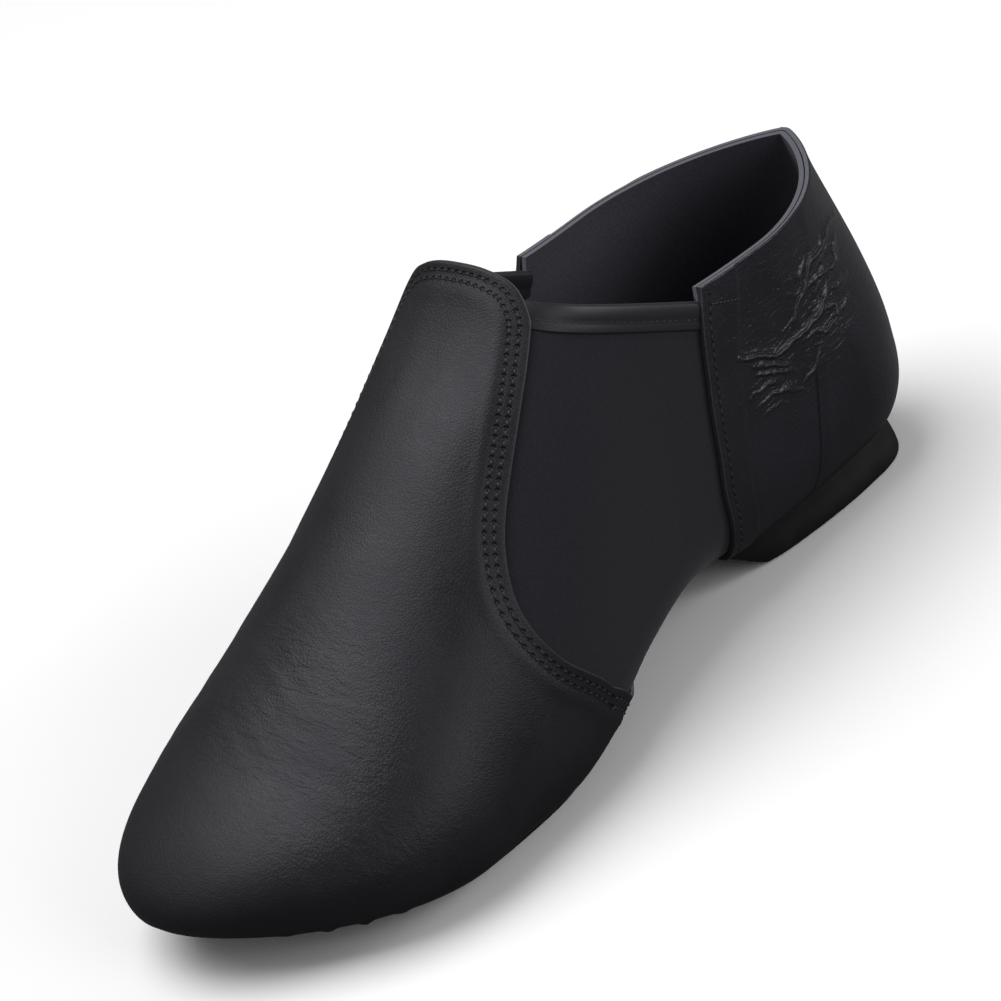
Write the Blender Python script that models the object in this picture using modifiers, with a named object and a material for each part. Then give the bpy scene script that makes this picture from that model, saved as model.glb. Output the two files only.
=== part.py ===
"""Slip-on jazz shoe for the left foot, standing flat and empty.

The frame: +Z up from the floor, the toe towards -Y, the outer (lateral) side towards +X,
and the origin under the middle of the heel. Every piece is worked out from one last, the
form of the foot that the shoe is made on: the lining and gore lie on it, the leather lies
on them, and the sole pads follow the leather.
"""

import math
from collections import namedtuple

import bmesh
import bpy
import numpy as np
from mathutils import Vector

# Sizes of the last, the space inside the shoe
LAST_LENGTH = 0.2400
HEEL_CENTRE = 0.0325
BALL_WIDTH = 0.0815
INSTEP_HEIGHT = 0.0990
TOE_TIP_HEIGHT = 0.0165
TOE_SPRING = 0.0080

# Heights of the collar over the floor
BACK_HEIGHT = 0.0800
QUARTER_CORNER_HEIGHT = 0.0815
COLLAR_DIP = 0.0020
GORE_REAR_HEIGHT = 0.0775
GORE_FRONT_HEIGHT = 0.0995

# Thicknesses and gaps
LINING_WALL = 0.0012
LEATHER = 0.0009
INSOLE = 0.0020
SOLE_THICKNESS = 0.0030
HEEL_HEIGHT = 0.0100
CLEARANCE = 0.0003

# Gore binding: an elastic tape folded over the top edge of each gore
TAPE_DEPTH = 0.0050
TAPE_THICKNESS = 0.0007

# Where the leather pieces end, as shares of the last's length from the heel
VAMP_EDGE = 0.462
QUARTER_EDGE = 0.295
COLLAR_STEP = 0.004

# Sole pads: the forefoot pad's ends as shares of the length, its share of the width, and the
# power of the curve that rounds its ends
PAD_REAR = 0.508
PAD_FRONT = 0.900
PAD_WIDTH = 0.85
PAD_OVAL = 2.7

# Ends of the last, as shares of its length: how far the heel and toe take to round off in
# plan, underneath and on top
HEEL_ROUND = 0.125
COLLAR_ROUND = 0.200
COLLAR_POINT = 1.8
HEEL_TURN = 0.045
HEEL_TURN_HEIGHT = 0.0008
TOE_ROUND = 0.230
TOE_TURN = 0.070
TOE_DOME = 0.105

Section = namedtuple("Section", "along centre lateral medial lift spring ridge widest flat edge crown")
# The sections of the last, from heel to toe. along is the share of LAST_LENGTH. centre,
# lateral and medial are shares of BALL_WIDTH: the middle line's shift outwards and the half
# widths on each side of it. lift is the underside's rise over the forefoot as a share of the
# heel's, and spring as a share of TOE_SPRING. ridge is the height of the top line as a share
# of INSTEP_HEIGHT; behind the vamp it is where the walls would meet over the ankle. widest
# is the height of the broadest line as a share of the section's own, flat the share of the
# half width that is flat underneath, and edge and crown the powers of the curves from there
# up to the broadest line and on over the top, where 2 is an ellipse and more is squarer.
SECTIONS = (
    Section(0.00, 0.000, 0.345, 0.345, 1.00, 0.0, 1.60, 0.095, 0.80, 2.0, 2.2),
    Section(0.10, 0.000, 0.348, 0.345, 1.00, 0.0, 1.62, 0.095, 0.80, 2.0, 2.2),
    Section(0.20, 0.005, 0.347, 0.347, 1.00, 0.0, 1.60, 0.100, 0.79, 2.1, 2.2),
    Section(0.30, 0.014, 0.350, 0.343, 1.06, 0.0, 1.48, 0.115, 0.68, 2.1, 2.2),
    Section(0.40, 0.018, 0.368, 0.350, 1.25, 0.0, 1.24, 0.145, 0.50, 2.0, 2.45),
    Section(0.50, 0.020, 0.415, 0.380, 0.85, 0.0, 1.00, 0.165, 0.60, 2.0, 2.8),
    Section(0.58, 0.016, 0.465, 0.425, 0.30, 0.0, 0.86, 0.175, 0.76, 2.1, 2.4),
    Section(0.66, 0.006, 0.500, 0.470, 0.00, 0.0, 0.72, 0.195, 0.85, 2.2, 2.1),
    Section(0.74, -0.012, 0.518, 0.495, 0.00, 0.0, 0.585, 0.220, 0.86, 2.2, 2.0),
    Section(0.82, -0.040, 0.545, 0.495, 0.00, 0.10, 0.455, 0.260, 0.85, 2.2, 1.95),
    Section(0.90, -0.072, 0.540, 0.480, 0.00, 0.45, 0.345, 0.310, 0.83, 2.1, 1.95),
    Section(1.00, -0.115, 0.470, 0.450, 0.00, 1.00, 0.275, 0.400, 0.75, 2.0, 2.0),
)

HeelStep = namedtuple("HeelStep", "height set_in")
# The heel's back line: how far it stands in from the back of the last, as a share of
# LAST_LENGTH, at shares of BACK_HEIGHT.
HEEL_LINE = (
    HeelStep(0.00, 0.040),
    HeelStep(0.16, 0.034),
    HeelStep(0.19, 0.018),
    HeelStep(0.24, 0.006),
    HeelStep(0.33, 0.000),
    HeelStep(0.62, 0.000),
    HeelStep(0.80, 0.004),
    HeelStep(1.00, 0.016),
    HeelStep(1.60, 0.050),
)

# The name of the row under the collar that follows the tape's lower edge
TAPE_ROW = -1.0
# Rows of the grid on the last count 0 to 1 over the flat underside, to 2 up its edge to the
# broadest line, to 3 up the side to the collar, and to 4 over the vamp to the ridge.
FLAT_ROWS = (0.0, 0.78, 1.0)
EDGE_ROWS = (1.28, 1.50, 1.75, 2.0)
SIDE_ROWS = (2.17, 2.34, 2.51, 2.66, 2.78, 2.86, TAPE_ROW, 3.0)
CROWN_ROWS = (3.2, 3.4, 3.6, 3.8, 4.0)

SeamStep = namedtuple("SeamStep", "row quarter gore")
# The seams on either side of the gore, by row: the share of the length at which the quarter
# ends and at which the vamp begins.
SEAMS = (
    SeamStep(0.0, 0.324, 0.458),
    SeamStep(1.0, 0.334, 0.494),
    SeamStep(1.5, 0.348, 0.552),
    SeamStep(2.0, 0.352, 0.587),
    SeamStep(2.3, 0.342, 0.634),
    SeamStep(2.5, 0.334, 0.645),
    SeamStep(2.7, 0.322, 0.626),
    SeamStep(2.8, 0.315, 0.596),
    SeamStep(2.9, 0.306, 0.539),
    SeamStep(3.0, 0.295, 0.462),
)

# Ribs of the grid, from the heel to the quarter's edge, over the gore and on to the toe
HEEL_RIBS = 9
GORE_RIBS = (0.0, 0.025, 0.05, 0.18, 0.36, 0.54, 0.72, 0.88, 0.985, 1.0)
VAMP_RIBS = 16
OUTLINE_STEPS = 25
HEEL, GORE, VAMP = 0, 1, 2
LATERAL, MEDIAL = 1, -1

# The openings under the shoe, which the sole pads close: their ribs in the heel and the vamp.
# They are as wide as the first flat row.
HEEL_OPENING = (3, 7)
VAMP_OPENING = (2, 8)
# How many rows the insole and the heel pad's cup reach up
INSOLE_ROWS = 3
HEEL_PAD_ROWS = 2

HeelRing = namedtuple("HeelRing", "height outward")
# The side of the heel pad, from its rim down: shares of HEEL_HEIGHT for the height over the
# floor and for how far the side stands out from the rim.
HEEL_SIDE = (
    HeelRing(0.80, 0.08),
    HeelRing(0.35, 0.16),
    HeelRing(0.12, 0.17),
    HeelRing(0.03, 0.12),
    HeelRing(0.00, 0.04),
)
HEEL_RIM_STEP = 0.05
HEEL_FRONT_RAKE = 0.22

STACK = SOLE_THICKNESS + LEATHER + LINING_WALL + 2 * CLEARANCE
HEEL_LIFT = HEEL_HEIGHT - SOLE_THICKNESS
LEATHER_FACE = LINING_WALL + CLEARANCE
SOLE_FACE = LEATHER_FACE + LEATHER + CLEARANCE

Finish = namedtuple("Finish", "colour roughness")
FINISHES = {
    "leather": Finish((0.022, 0.022, 0.026), 0.50),
    "neoprene": Finish((0.014, 0.014, 0.017), 0.95),
    "elastic": Finish((0.010, 0.010, 0.012), 0.60),
    "rubber": Finish((0.012, 0.012, 0.013), 0.75),
    "insole_cloth": Finish((0.018, 0.018, 0.020), 0.90),
}


def smooth_table(where, places, values):
    """A smooth curve through a table: cubic pieces whose slopes blend their neighbours'."""
    places = np.asarray(places, float)
    values = np.asarray(values, float)
    secant = np.diff(values) / np.diff(places)
    slope = np.empty_like(values)
    slope[1:-1] = 0.5 * (secant[:-1] + secant[1:])
    slope[1:-1][secant[:-1] * secant[1:] <= 0] = 0.0
    slope[0], slope[-1] = secant[0], secant[-1]
    where = float(np.clip(where, places[0], places[-1]))
    k = int(np.clip(np.searchsorted(places, where) - 1, 0, len(places) - 2))
    span = places[k + 1] - places[k]
    t = (where - places[k]) / span
    return float(
        (2 * t**3 - 3 * t**2 + 1) * values[k]
        + (t**3 - 2 * t**2 + t) * span * slope[k]
        + (3 * t**2 - 2 * t**3) * values[k + 1]
        + (t**3 - t**2) * span * slope[k + 1]
    )


def section_value(column, along):
    """One column of SECTIONS at a share of the length."""
    return smooth_table(along, [s.along for s in SECTIONS], [getattr(s, column) for s in SECTIONS])


def rounding(share):
    """A quarter circle from 0 at the end of the last to 1 where the rounding is done."""
    return math.sqrt(max(0.0, 1 - (1 - min(max(share, 0.0), 1.0)) ** 2))


def half_width(along, side):
    """Half width of the last from its middle line, on one side."""
    full = BALL_WIDTH * section_value("lateral" if side == LATERAL else "medial", along)
    return full * rounding(along / HEEL_ROUND) * rounding((1 - along) / TOE_ROUND)


def pinch(along, z):
    """How much narrower the last is towards the collar's back, where its plan comes to a point."""
    rise = min(max(z / BACK_HEIGHT - 0.4, 0.0) / 0.6, 1.0)
    narrow = rounding(along / COLLAR_ROUND) ** COLLAR_POINT / max(rounding(along / HEEL_ROUND), 1e-6)
    return 1 + (narrow - 1) * rise * rise * (3 - 2 * rise)


def underside(along):
    """Height of the last's underside over the floor."""
    low = STACK + HEEL_LIFT * section_value("lift", along) + TOE_SPRING * section_value("spring", along)
    low += HEEL_TURN_HEIGHT * (1 - rounding(along / HEEL_TURN))
    toe = rounding((1 - along) / TOE_TURN)
    return TOE_TIP_HEIGHT + (low - TOE_TIP_HEIGHT) * toe


def ridge(along):
    """Height of the last's top line over the floor."""
    high = INSTEP_HEIGHT * section_value("ridge", along)
    return TOE_TIP_HEIGHT + (high - TOE_TIP_HEIGHT) * rounding((1 - along) / TOE_DOME)


def section_outline(along, side):
    """Half a section as points from the bottom centre to the ridge: share of its run, across, height."""
    half = half_width(along, side)
    low, high = underside(along), ridge(along)
    widest = low + (high - low) * section_value("widest", along)
    flat = half * section_value("flat", along)
    turn = np.linspace(0, math.pi / 2, OUTLINE_STEPS)
    sine, cosine = np.clip(np.sin(turn), 0, 1), np.clip(np.cos(turn), 0, 1)
    edge, crown = 2 / section_value("edge", along), 2 / section_value("crown", along)
    across = np.concatenate(([0.0], flat + (half - flat) * sine**edge, half * cosine[1:] ** crown))
    height = np.concatenate(
        ([low], widest - (widest - low) * cosine**edge, widest + (high - widest) * sine[1:] ** crown)
    )
    run = np.concatenate(([0.0], np.cumsum(np.hypot(np.diff(across), np.diff(height)))))
    return run / max(run[-1], 1e-9), across, height


def collar_height(along):
    """Height of the collar over the floor: the leather quarter, then the lower gore."""
    if along <= QUARTER_EDGE:
        share = along / QUARTER_EDGE
        dip = COLLAR_DIP * (1 - (2 * share - 1) ** 2)
        return BACK_HEIGHT + (QUARTER_CORNER_HEIGHT - BACK_HEIGHT) * share - dip
    if along < QUARTER_EDGE + COLLAR_STEP:
        share = (along - QUARTER_EDGE) / COLLAR_STEP
        return QUARTER_CORNER_HEIGHT + (GORE_REAR_HEIGHT - QUARTER_CORNER_HEIGHT) * share
    share = (along - QUARTER_EDGE - COLLAR_STEP) / (VAMP_EDGE - QUARTER_EDGE - COLLAR_STEP)
    return GORE_REAR_HEIGHT + (GORE_FRONT_HEIGHT - GORE_REAR_HEIGHT) * share


def collar_share(along, side):
    """How far up the run from the broadest line to the ridge row 3 lies."""
    run, _, height = section_outline(min(along, VAMP_EDGE), side)
    side_run = run[OUTLINE_STEPS]
    return (np.interp(collar_height(min(along, VAMP_EDGE)), height, run) - side_run) / (1 - side_run)


def on_last(along, side, row):
    """The point of the last at a share of the length and a row."""
    run, across, height = section_outline(along, side)
    side_run = run[OUTLINE_STEPS]
    collar_run = side_run + (1 - side_run) * collar_share(along, side)
    rows = np.concatenate(([0.0], np.linspace(1, 2, OUTLINE_STEPS), [3.0, 4.0]))
    share = float(np.interp(row, rows, np.append(run[: OUTLINE_STEPS + 1], (collar_run, 1.0))))
    z = float(np.interp(share, run, height))
    x = BALL_WIDTH * section_value("centre", along)
    x += side * float(np.interp(share, run, across)) * pinch(along, z)
    set_in = smooth_table(z / BACK_HEIGHT, [s.height for s in HEEL_LINE], [s.set_in for s in HEEL_LINE])
    fade = max(0.0, 1 - along / HEEL_ROUND) ** 2
    y = HEEL_CENTRE - LAST_LENGTH * (along + set_in * fade)
    return np.array((x, y, z))


def seam(column, row):
    """Share of the length at which a seam crosses a row."""
    return smooth_table(row, [s.row for s in SEAMS], [getattr(s, column) for s in SEAMS])


def place_along(zone, rib, row):
    """Share of the length of a rib's point on a row. rib runs from 0 at the rear to 1."""
    quarter, gore = seam("quarter", row), seam("gore", row)
    if zone == HEEL:
        return quarter * (1 - math.cos(rib * math.pi / 2))
    if zone == GORE:
        return quarter + (gore - quarter) * rib
    return 1 - (1 - gore) * (1 - math.sin(rib * math.pi / 2))


def tape_row(side, rib):
    """The row that lies TAPE_DEPTH under the gore's top edge, measured square to the edge."""
    rib = min(max(rib, GORE_RIBS[1]), GORE_RIBS[-2])
    rows = np.linspace(2.86, 3.0, 15)
    points = [on_last(place_along(GORE, rib, row), side, row) for row in rows]
    edge = on_last(place_along(GORE, rib + 0.01, 3.0), side, 3.0) - points[-1]
    edge /= np.linalg.norm(edge)
    depths = [np.linalg.norm(p - points[-1] - edge * edge.dot(p - points[-1])) for p in points]
    return float(np.interp(TAPE_DEPTH, depths[::-1], rows[::-1]))


def place(side, zone, rib, row):
    """The point of the last on a rib and a row."""
    if row == TAPE_ROW:
        row = tape_row(side, {HEEL: 0.0, GORE: rib, VAMP: 1.0}[zone])
    return on_last(place_along(zone, rib, min(row, 3.0)), side, row)


def zone_ribs(zone):
    """The ribs of a zone, each as a share of its length."""
    if zone == GORE:
        return GORE_RIBS
    count = HEEL_RIBS if zone == HEEL else VAMP_RIBS
    return tuple(k / count for k in range(count + 1))


def zone_rows(zone):
    """The rows of a zone: up to the collar, and over the crown on the vamp."""
    return FLAT_ROWS + EDGE_ROWS + SIDE_ROWS + (CROWN_ROWS if zone == VAMP else ())


def last_surface():
    """The last's skin as one open mesh. Its faces carry their zone, rib and row, and its points the way out."""
    bm = bmesh.new()
    layers = {name: bm.faces.layers.int.new(name) for name in ("zone", "rib", "row")}
    for side in (LATERAL, MEDIAL):
        for zone in (HEEL, GORE, VAMP):
            ribs, rows = zone_ribs(zone), zone_rows(zone)
            points = [[bm.verts.new(place(side, zone, rib, row)) for row in rows] for rib in ribs]
            for i in range(len(ribs) - 1):
                for j in range(len(rows) - 1):
                    corners = [points[i][j], points[i + 1][j], points[i + 1][j + 1], points[i][j + 1]]
                    face = bm.faces.new(corners if side == MEDIAL else corners[::-1])
                    for name, value in zip(("zone", "rib", "row"), (zone, i, j)):
                        face[layers[name]] = value
    bmesh.ops.remove_doubles(bm, verts=bm.verts, dist=0.00002)
    bmesh.ops.recalc_face_normals(bm, faces=bm.faces)
    bmesh.ops.triangulate(bm, faces=bm.faces)
    bm.normal_update()
    out = bm.verts.layers.float_vector.new("out")
    for vert in bm.verts:
        vert[out] = vert.normal
    return bm


def in_opening(zone, rib, row):
    """Whether a face lies in one of the two openings under the shoe, which the sole pads close."""
    first, last = {HEEL: HEEL_OPENING, VAMP: VAMP_OPENING}.get(zone, (1, 0))
    return row == 0 and first <= rib < last


def cut_from_last(surface, keep, lift):
    """The faces of the last that keep() picks, moved outwards by lift."""
    bm = surface.copy()
    zone, rib, row = (bm.faces.layers.int[name] for name in ("zone", "rib", "row"))
    unwanted = [f for f in bm.faces if not keep(f[zone], f[rib], f[row])]
    bmesh.ops.delete(bm, geom=unwanted, context="FACES")
    out = bm.verts.layers.float_vector["out"]
    for vert in bm.verts:
        vert.co += vert[out] * lift
    return bm


def wall_on_last(surface, keep, near, far):
    """A closed wall over the faces that keep() picks, from one lift over the last to another.

    Both sides follow the last's own ways out, so the walls of two neighbours stay parallel.
    """
    bm = cut_from_last(surface, keep, far)
    out = bm.verts.layers.float_vector["out"]
    rims = [e.link_loops[0] for e in bm.edges if e.is_boundary]
    rims = [(loop.vert, loop.link_loop_next.vert) for loop in rims]
    twins = {v: bm.verts.new(v.co + v[out] * (near - far)) for v in list(bm.verts)}
    for face in list(bm.faces):
        bm.faces.new([twins[v] for v in reversed(face.verts)])
    for start, end in rims:
        bm.faces.new((end, start, twins[start], twins[end]))
    return bm


def material(name):
    """The Principled material of one finish."""
    made = bpy.data.materials.get(name) or bpy.data.materials.new(name)
    made.use_nodes = True
    shader = made.node_tree.nodes["Principled BSDF"]
    shader.inputs["Base Color"].default_value = (*FINISHES[name].colour, 1)
    shader.inputs["Roughness"].default_value = FINISHES[name].roughness
    return made


def add_object(name, bm, finish, collection):
    """Puts a mesh in the scene as a named, smooth object."""
    mesh = bpy.data.meshes.new(name)
    bm.to_mesh(mesh)
    bm.free()
    mesh.shade_smooth()
    mesh.set_sharp_from_angle(angle=math.radians(50))
    mesh.materials.append(material(finish))
    obj = bpy.data.objects.new(name, mesh)
    collection.objects.link(obj)
    return obj


def thicken(obj, thickness):
    """Gives an open surface its wall, outwards."""
    wall = obj.modifiers.new("wall", "SOLIDIFY")
    wall.thickness = thickness
    wall.offset = 1
    return obj


def build_upper(surface, collection):
    """The lining and the neoprene gores and arch, in one hollow wall from toe to heel."""
    bm = wall_on_last(surface, lambda zone, rib, row: not in_opening(zone, rib, row), 0, LINING_WALL)
    add_object("upper", bm, "neoprene", collection)


def build_leather(name, zone, surface, collection):
    """A leather piece over one zone of the upper, wrapped under the foot."""
    def keep(face_zone, rib, row):
        return face_zone == zone and not in_opening(face_zone, rib, row)

    add_object(name, wall_on_last(surface, keep, LEATHER_FACE, LEATHER_FACE + LEATHER), "leather", collection)


def build_insole(surface, collection):
    """The insole, over the whole underside inside the upper."""
    bm = wall_on_last(surface, lambda zone, rib, row: row < INSOLE_ROWS, -CLEARANCE - INSOLE, -CLEARANCE)
    add_object("insole", bm, "insole_cloth", collection)


def pad_half_width(along, side):
    """Half width of the forefoot pad: a share of the last's, rounded off at both ends."""
    middle, reach = (PAD_REAR + PAD_FRONT) / 2, (PAD_FRONT - PAD_REAR) / 2
    oval = max(0.0, 1 - abs((along - middle) / reach) ** PAD_OVAL) ** (1 / PAD_OVAL)
    return PAD_WIDTH * oval * half_width(along, side)


def pad_top(along):
    """Height of the forefoot pad's top: the underside of the leather and the gap to it."""
    step = 0.005
    slope = (underside(along + step) - underside(along - step)) / (2 * step * LAST_LENGTH)
    return underside(along) - SOLE_FACE * math.hypot(1, slope)


def build_forefoot_sole(collection):
    """The rubber pad under the forefoot."""
    stations, columns = 22, 6
    bm = bmesh.new()
    grid = []
    for k in range(stations + 1):
        along = PAD_REAR + (PAD_FRONT - PAD_REAR) * (1 - math.cos(k / stations * math.pi)) / 2
        y = HEEL_CENTRE - LAST_LENGTH * along
        middle = BALL_WIDTH * section_value("centre", along)
        line = []
        for j in range(-columns, columns + 1):
            share = math.sin(j / columns * math.pi / 2)
            x = middle + share * pad_half_width(along, LATERAL if j > 0 else MEDIAL)
            line.append(bm.verts.new((x, y, pad_top(along))))
        grid.append(line)
    for rear, front in zip(grid, grid[1:]):
        for j in range(2 * columns):
            bm.faces.new((rear[j], rear[j + 1], front[j + 1], front[j]))
    bmesh.ops.remove_doubles(bm, verts=bm.verts, dist=0.00002)
    bm.normal_update()
    thicken(add_object("forefoot_sole", bm, "rubber", collection), SOLE_THICKNESS)


def rim_loop(bm):
    """The boundary of an open mesh as points in order."""
    edges = [e for e in bm.edges if e.is_boundary]
    first = edges[0].verts[0]
    loop, current, previous = [first], edges[0].verts[1], first
    while current is not first:
        loop.append(current)
        onward = [e.other_vert(current) for e in current.link_edges if e.is_boundary]
        current, previous = next(v for v in onward if v is not previous), current
    return loop


def loop_outward(loop):
    """The way out of a loop, in plan, at each of its points."""
    points = [Vector(v.co.xy) for v in loop]
    area = sum(a.x * b.y - b.x * a.y for a, b in zip(points, points[1:] + points[:1]))
    turn = 1 if area > 0 else -1
    ways = []
    for before, after in zip(points[-1:] + points[:-1], points[1:] + points[:1]):
        run = (after - before).normalized()
        ways.append(Vector((run.y, -run.x, 0)) * turn)
    return ways


def build_heel(surface, collection):
    """The rubber heel: a cup that the leather sits in, with a flared side and a flat foot."""
    inside = cut_from_last(surface, lambda zone, rib, row: zone == HEEL and row < HEEL_PAD_ROWS, SOLE_FACE)
    loop = rim_loop(inside)
    outward = loop_outward(loop)
    rim_height = [v.co.z for v in loop]
    rear = max(v.co.y for v in loop)
    rings = [HeelRing(None, HEEL_RIM_STEP), *HEEL_SIDE]
    previous = loop
    for ring in rings:
        current = []
        for vert, way, rim in zip(loop, outward, rim_height):
            point = Vector(vert.co) + way * (HEEL_HEIGHT * ring.outward)
            point.z = rim if ring.height is None else HEEL_HEIGHT * ring.height
            point.y += (rear - point.y) * HEEL_FRONT_RAKE * max(0.0, 1 - point.z / rim)
            current.append(inside.verts.new(point))
        for k in range(len(loop)):
            after = (k + 1) % len(loop)
            inside.faces.new((previous[k], previous[after], current[after], current[k]))
        previous = current
    inside.faces.new(previous)
    bmesh.ops.recalc_face_normals(inside, faces=inside.faces)
    add_object("heel", inside, "rubber", collection)


def nearest_vert(surface, point):
    """The vertex of the last's surface at a point."""
    point = Vector(point)
    return min(surface.verts, key=lambda vert: (vert.co - point).length_squared)


def tape_section(top, low, out, run):
    """The tape's cross-section where it folds over the gore's edge, as a closed loop of points.

    top is the edge's vertex, low the next one down its rib, and run the way along the edge.
    """
    rib = low.co - top.co
    up = (rib.project(run) - rib).normalized()
    outer, inner = LINING_WALL + CLEARANCE, -CLEARANCE
    bend = 0.4 * TAPE_THICKNESS
    shoulder = up * (CLEARANCE + TAPE_THICKNESS - bend)
    return [
        low.co + low[out] * outer,
        low.co + low[out] * (outer + TAPE_THICKNESS),
        top.co + top[out] * (outer + TAPE_THICKNESS),
        top.co + top[out] * (outer + TAPE_THICKNESS - bend) + shoulder,
        top.co + top[out] * (LINING_WALL / 2) + up * (CLEARANCE + TAPE_THICKNESS),
        top.co + top[out] * (inner - TAPE_THICKNESS + bend) + shoulder,
        top.co + top[out] * (inner - TAPE_THICKNESS),
        low.co + low[out] * (inner - TAPE_THICKNESS),
        low.co + low[out] * inner,
        top.co + top[out] * inner + up * CLEARANCE,
        top.co + top[out] * outer + up * CLEARANCE,
    ]


# The tape's long faces beside the gore, by their place in tape_section, and whether each runs up
TAPE_FLAPS = {1: True, 6: False, 8: True, 10: False}


def build_binding(name, side, surface, collection):
    """The elastic tape folded over one gore's top edge. Its flaps bend on the gore's own lines."""
    out = surface.verts.layers.float_vector["out"]
    bm = bmesh.new()
    ends = []
    for rib in GORE_RIBS[2:-1]:
        low = nearest_vert(surface, place(side, GORE, rib, TAPE_ROW))
        top = nearest_vert(surface, place(side, GORE, rib, 3.0))
        run = Vector(place(side, GORE, rib + 0.01, 3.0)) - Vector(place(side, GORE, rib, 3.0))
        ring = [bm.verts.new(point) for point in tape_section(top, low, out, run)]
        ends.append((low, top, ring))
    for (low, top, ring), (next_low, next_top, next_ring) in zip(ends, ends[1:]):
        rising = surface.edges.get((low, next_top)) is not None
        for k in range(len(ring)):
            onward = (k + 1) % len(ring)
            a, b, c, d = ring[k], ring[onward], next_ring[onward], next_ring[k]
            if k not in TAPE_FLAPS:
                bm.faces.new((a, b, c, d))
            elif TAPE_FLAPS[k] == rising:
                bm.faces.new((a, b, c))
                bm.faces.new((a, c, d))
            else:
                bm.faces.new((a, b, d))
                bm.faces.new((b, c, d))
    for _, _, ring in (ends[0], ends[-1]):
        bm.faces.new(ring)
    bmesh.ops.recalc_face_normals(bm, faces=bm.faces)
    add_object(name, bm, "elastic", collection)


def main():
    """Builds the shoe in a collection of its own."""
    for obj in list(bpy.data.objects):
        bpy.data.objects.remove(obj)
    shoe = bpy.data.collections.new("jazz_shoe")
    bpy.context.scene.collection.children.link(shoe)
    surface = last_surface()
    build_upper(surface, shoe)
    build_leather("vamp", VAMP, surface, shoe)
    build_leather("quarter", HEEL, surface, shoe)
    build_insole(surface, shoe)
    build_forefoot_sole(shoe)
    build_heel(surface, shoe)
    build_binding("gore_binding_lateral", LATERAL, surface, shoe)
    build_binding("gore_binding_medial", MEDIAL, surface, shoe)
    surface.free()


main()
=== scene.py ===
"""Looks of the slip-on jazz shoe: fine leather, stretch gores, elastic tape, rubber and stitches.

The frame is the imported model's: metres, +Z up from the floor, the toe towards -Y and the outer
(lateral) side towards +X. Every piece follows the same last as the solids, worked out finely.
"""

from __future__ import annotations

import logging
import math
from collections.abc import Iterable, Sequence
from dataclasses import dataclass, field, replace
from enum import Enum

import bmesh
import bpy
import numpy as np
from mathutils import Matrix, Vector
from mathutils.bvhtree import BVHTree
from mathutils.interpolate import poly_3d_calc
from mathutils.kdtree import KDTree

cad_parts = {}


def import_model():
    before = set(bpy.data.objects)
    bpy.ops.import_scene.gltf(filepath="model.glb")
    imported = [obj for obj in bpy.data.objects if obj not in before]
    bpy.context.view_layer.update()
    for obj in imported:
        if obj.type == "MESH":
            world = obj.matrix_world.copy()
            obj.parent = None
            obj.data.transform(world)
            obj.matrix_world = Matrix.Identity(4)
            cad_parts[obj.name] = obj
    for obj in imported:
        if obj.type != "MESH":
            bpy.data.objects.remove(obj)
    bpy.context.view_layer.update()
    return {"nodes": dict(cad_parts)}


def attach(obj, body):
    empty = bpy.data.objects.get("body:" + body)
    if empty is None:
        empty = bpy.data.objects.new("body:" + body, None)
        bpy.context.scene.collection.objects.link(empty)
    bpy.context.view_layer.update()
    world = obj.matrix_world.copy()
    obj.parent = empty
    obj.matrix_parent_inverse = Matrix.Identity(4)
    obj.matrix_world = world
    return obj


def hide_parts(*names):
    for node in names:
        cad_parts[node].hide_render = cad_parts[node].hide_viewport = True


Triple = tuple[float, float, float]
Socket = bpy.types.NodeSocket

LOG = logging.getLogger("jazz_shoe")
BODY = "root"
MM = 0.001
WELD = 0.00001  # points nearer than this are one
TREAD_PITCH = 0.0028
TREAD_CELLS = 60
TREAD_BELOW = -0.02  # the lattice is cast up from here onto the sole

# The stiffener's front edge inside the quarter leans: its place along Y at one height.
STIFFENER_FRONT = 0.0126
STIFFENER_HEIGHT = 0.0390
STIFFENER_LEAN = 0.30

# The folded strip at the quarter's front edge: its width at the floor and what it gains with height.
STRIP_WIDTH = 0.0070
STRIP_TOP = 0.070
STRIP_LEAN = 0.0055 / STRIP_TOP


class Side(Enum):
    """The two sides of the shoe, by the sign of X."""

    LATERAL = 1
    MEDIAL = -1


class Zone(Enum):
    """The stretches of the last: under the quarter, the gore and the vamp."""

    HEEL = 0
    GORE = 1
    VAMP = 2


class Seam(Enum):
    """The seams across each side, by their column in the table of seams."""

    QUARTER = "quarter"
    GORE = "gore"


@dataclass(frozen=True)
class Section:
    """One section of the last. Widths are shares of the ball width, heights of the instep's."""

    along: float
    centre: float
    lateral: float
    medial: float
    lift: float
    spring: float
    ridge: float
    widest: float
    flat: float
    edge: float
    crown: float


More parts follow.
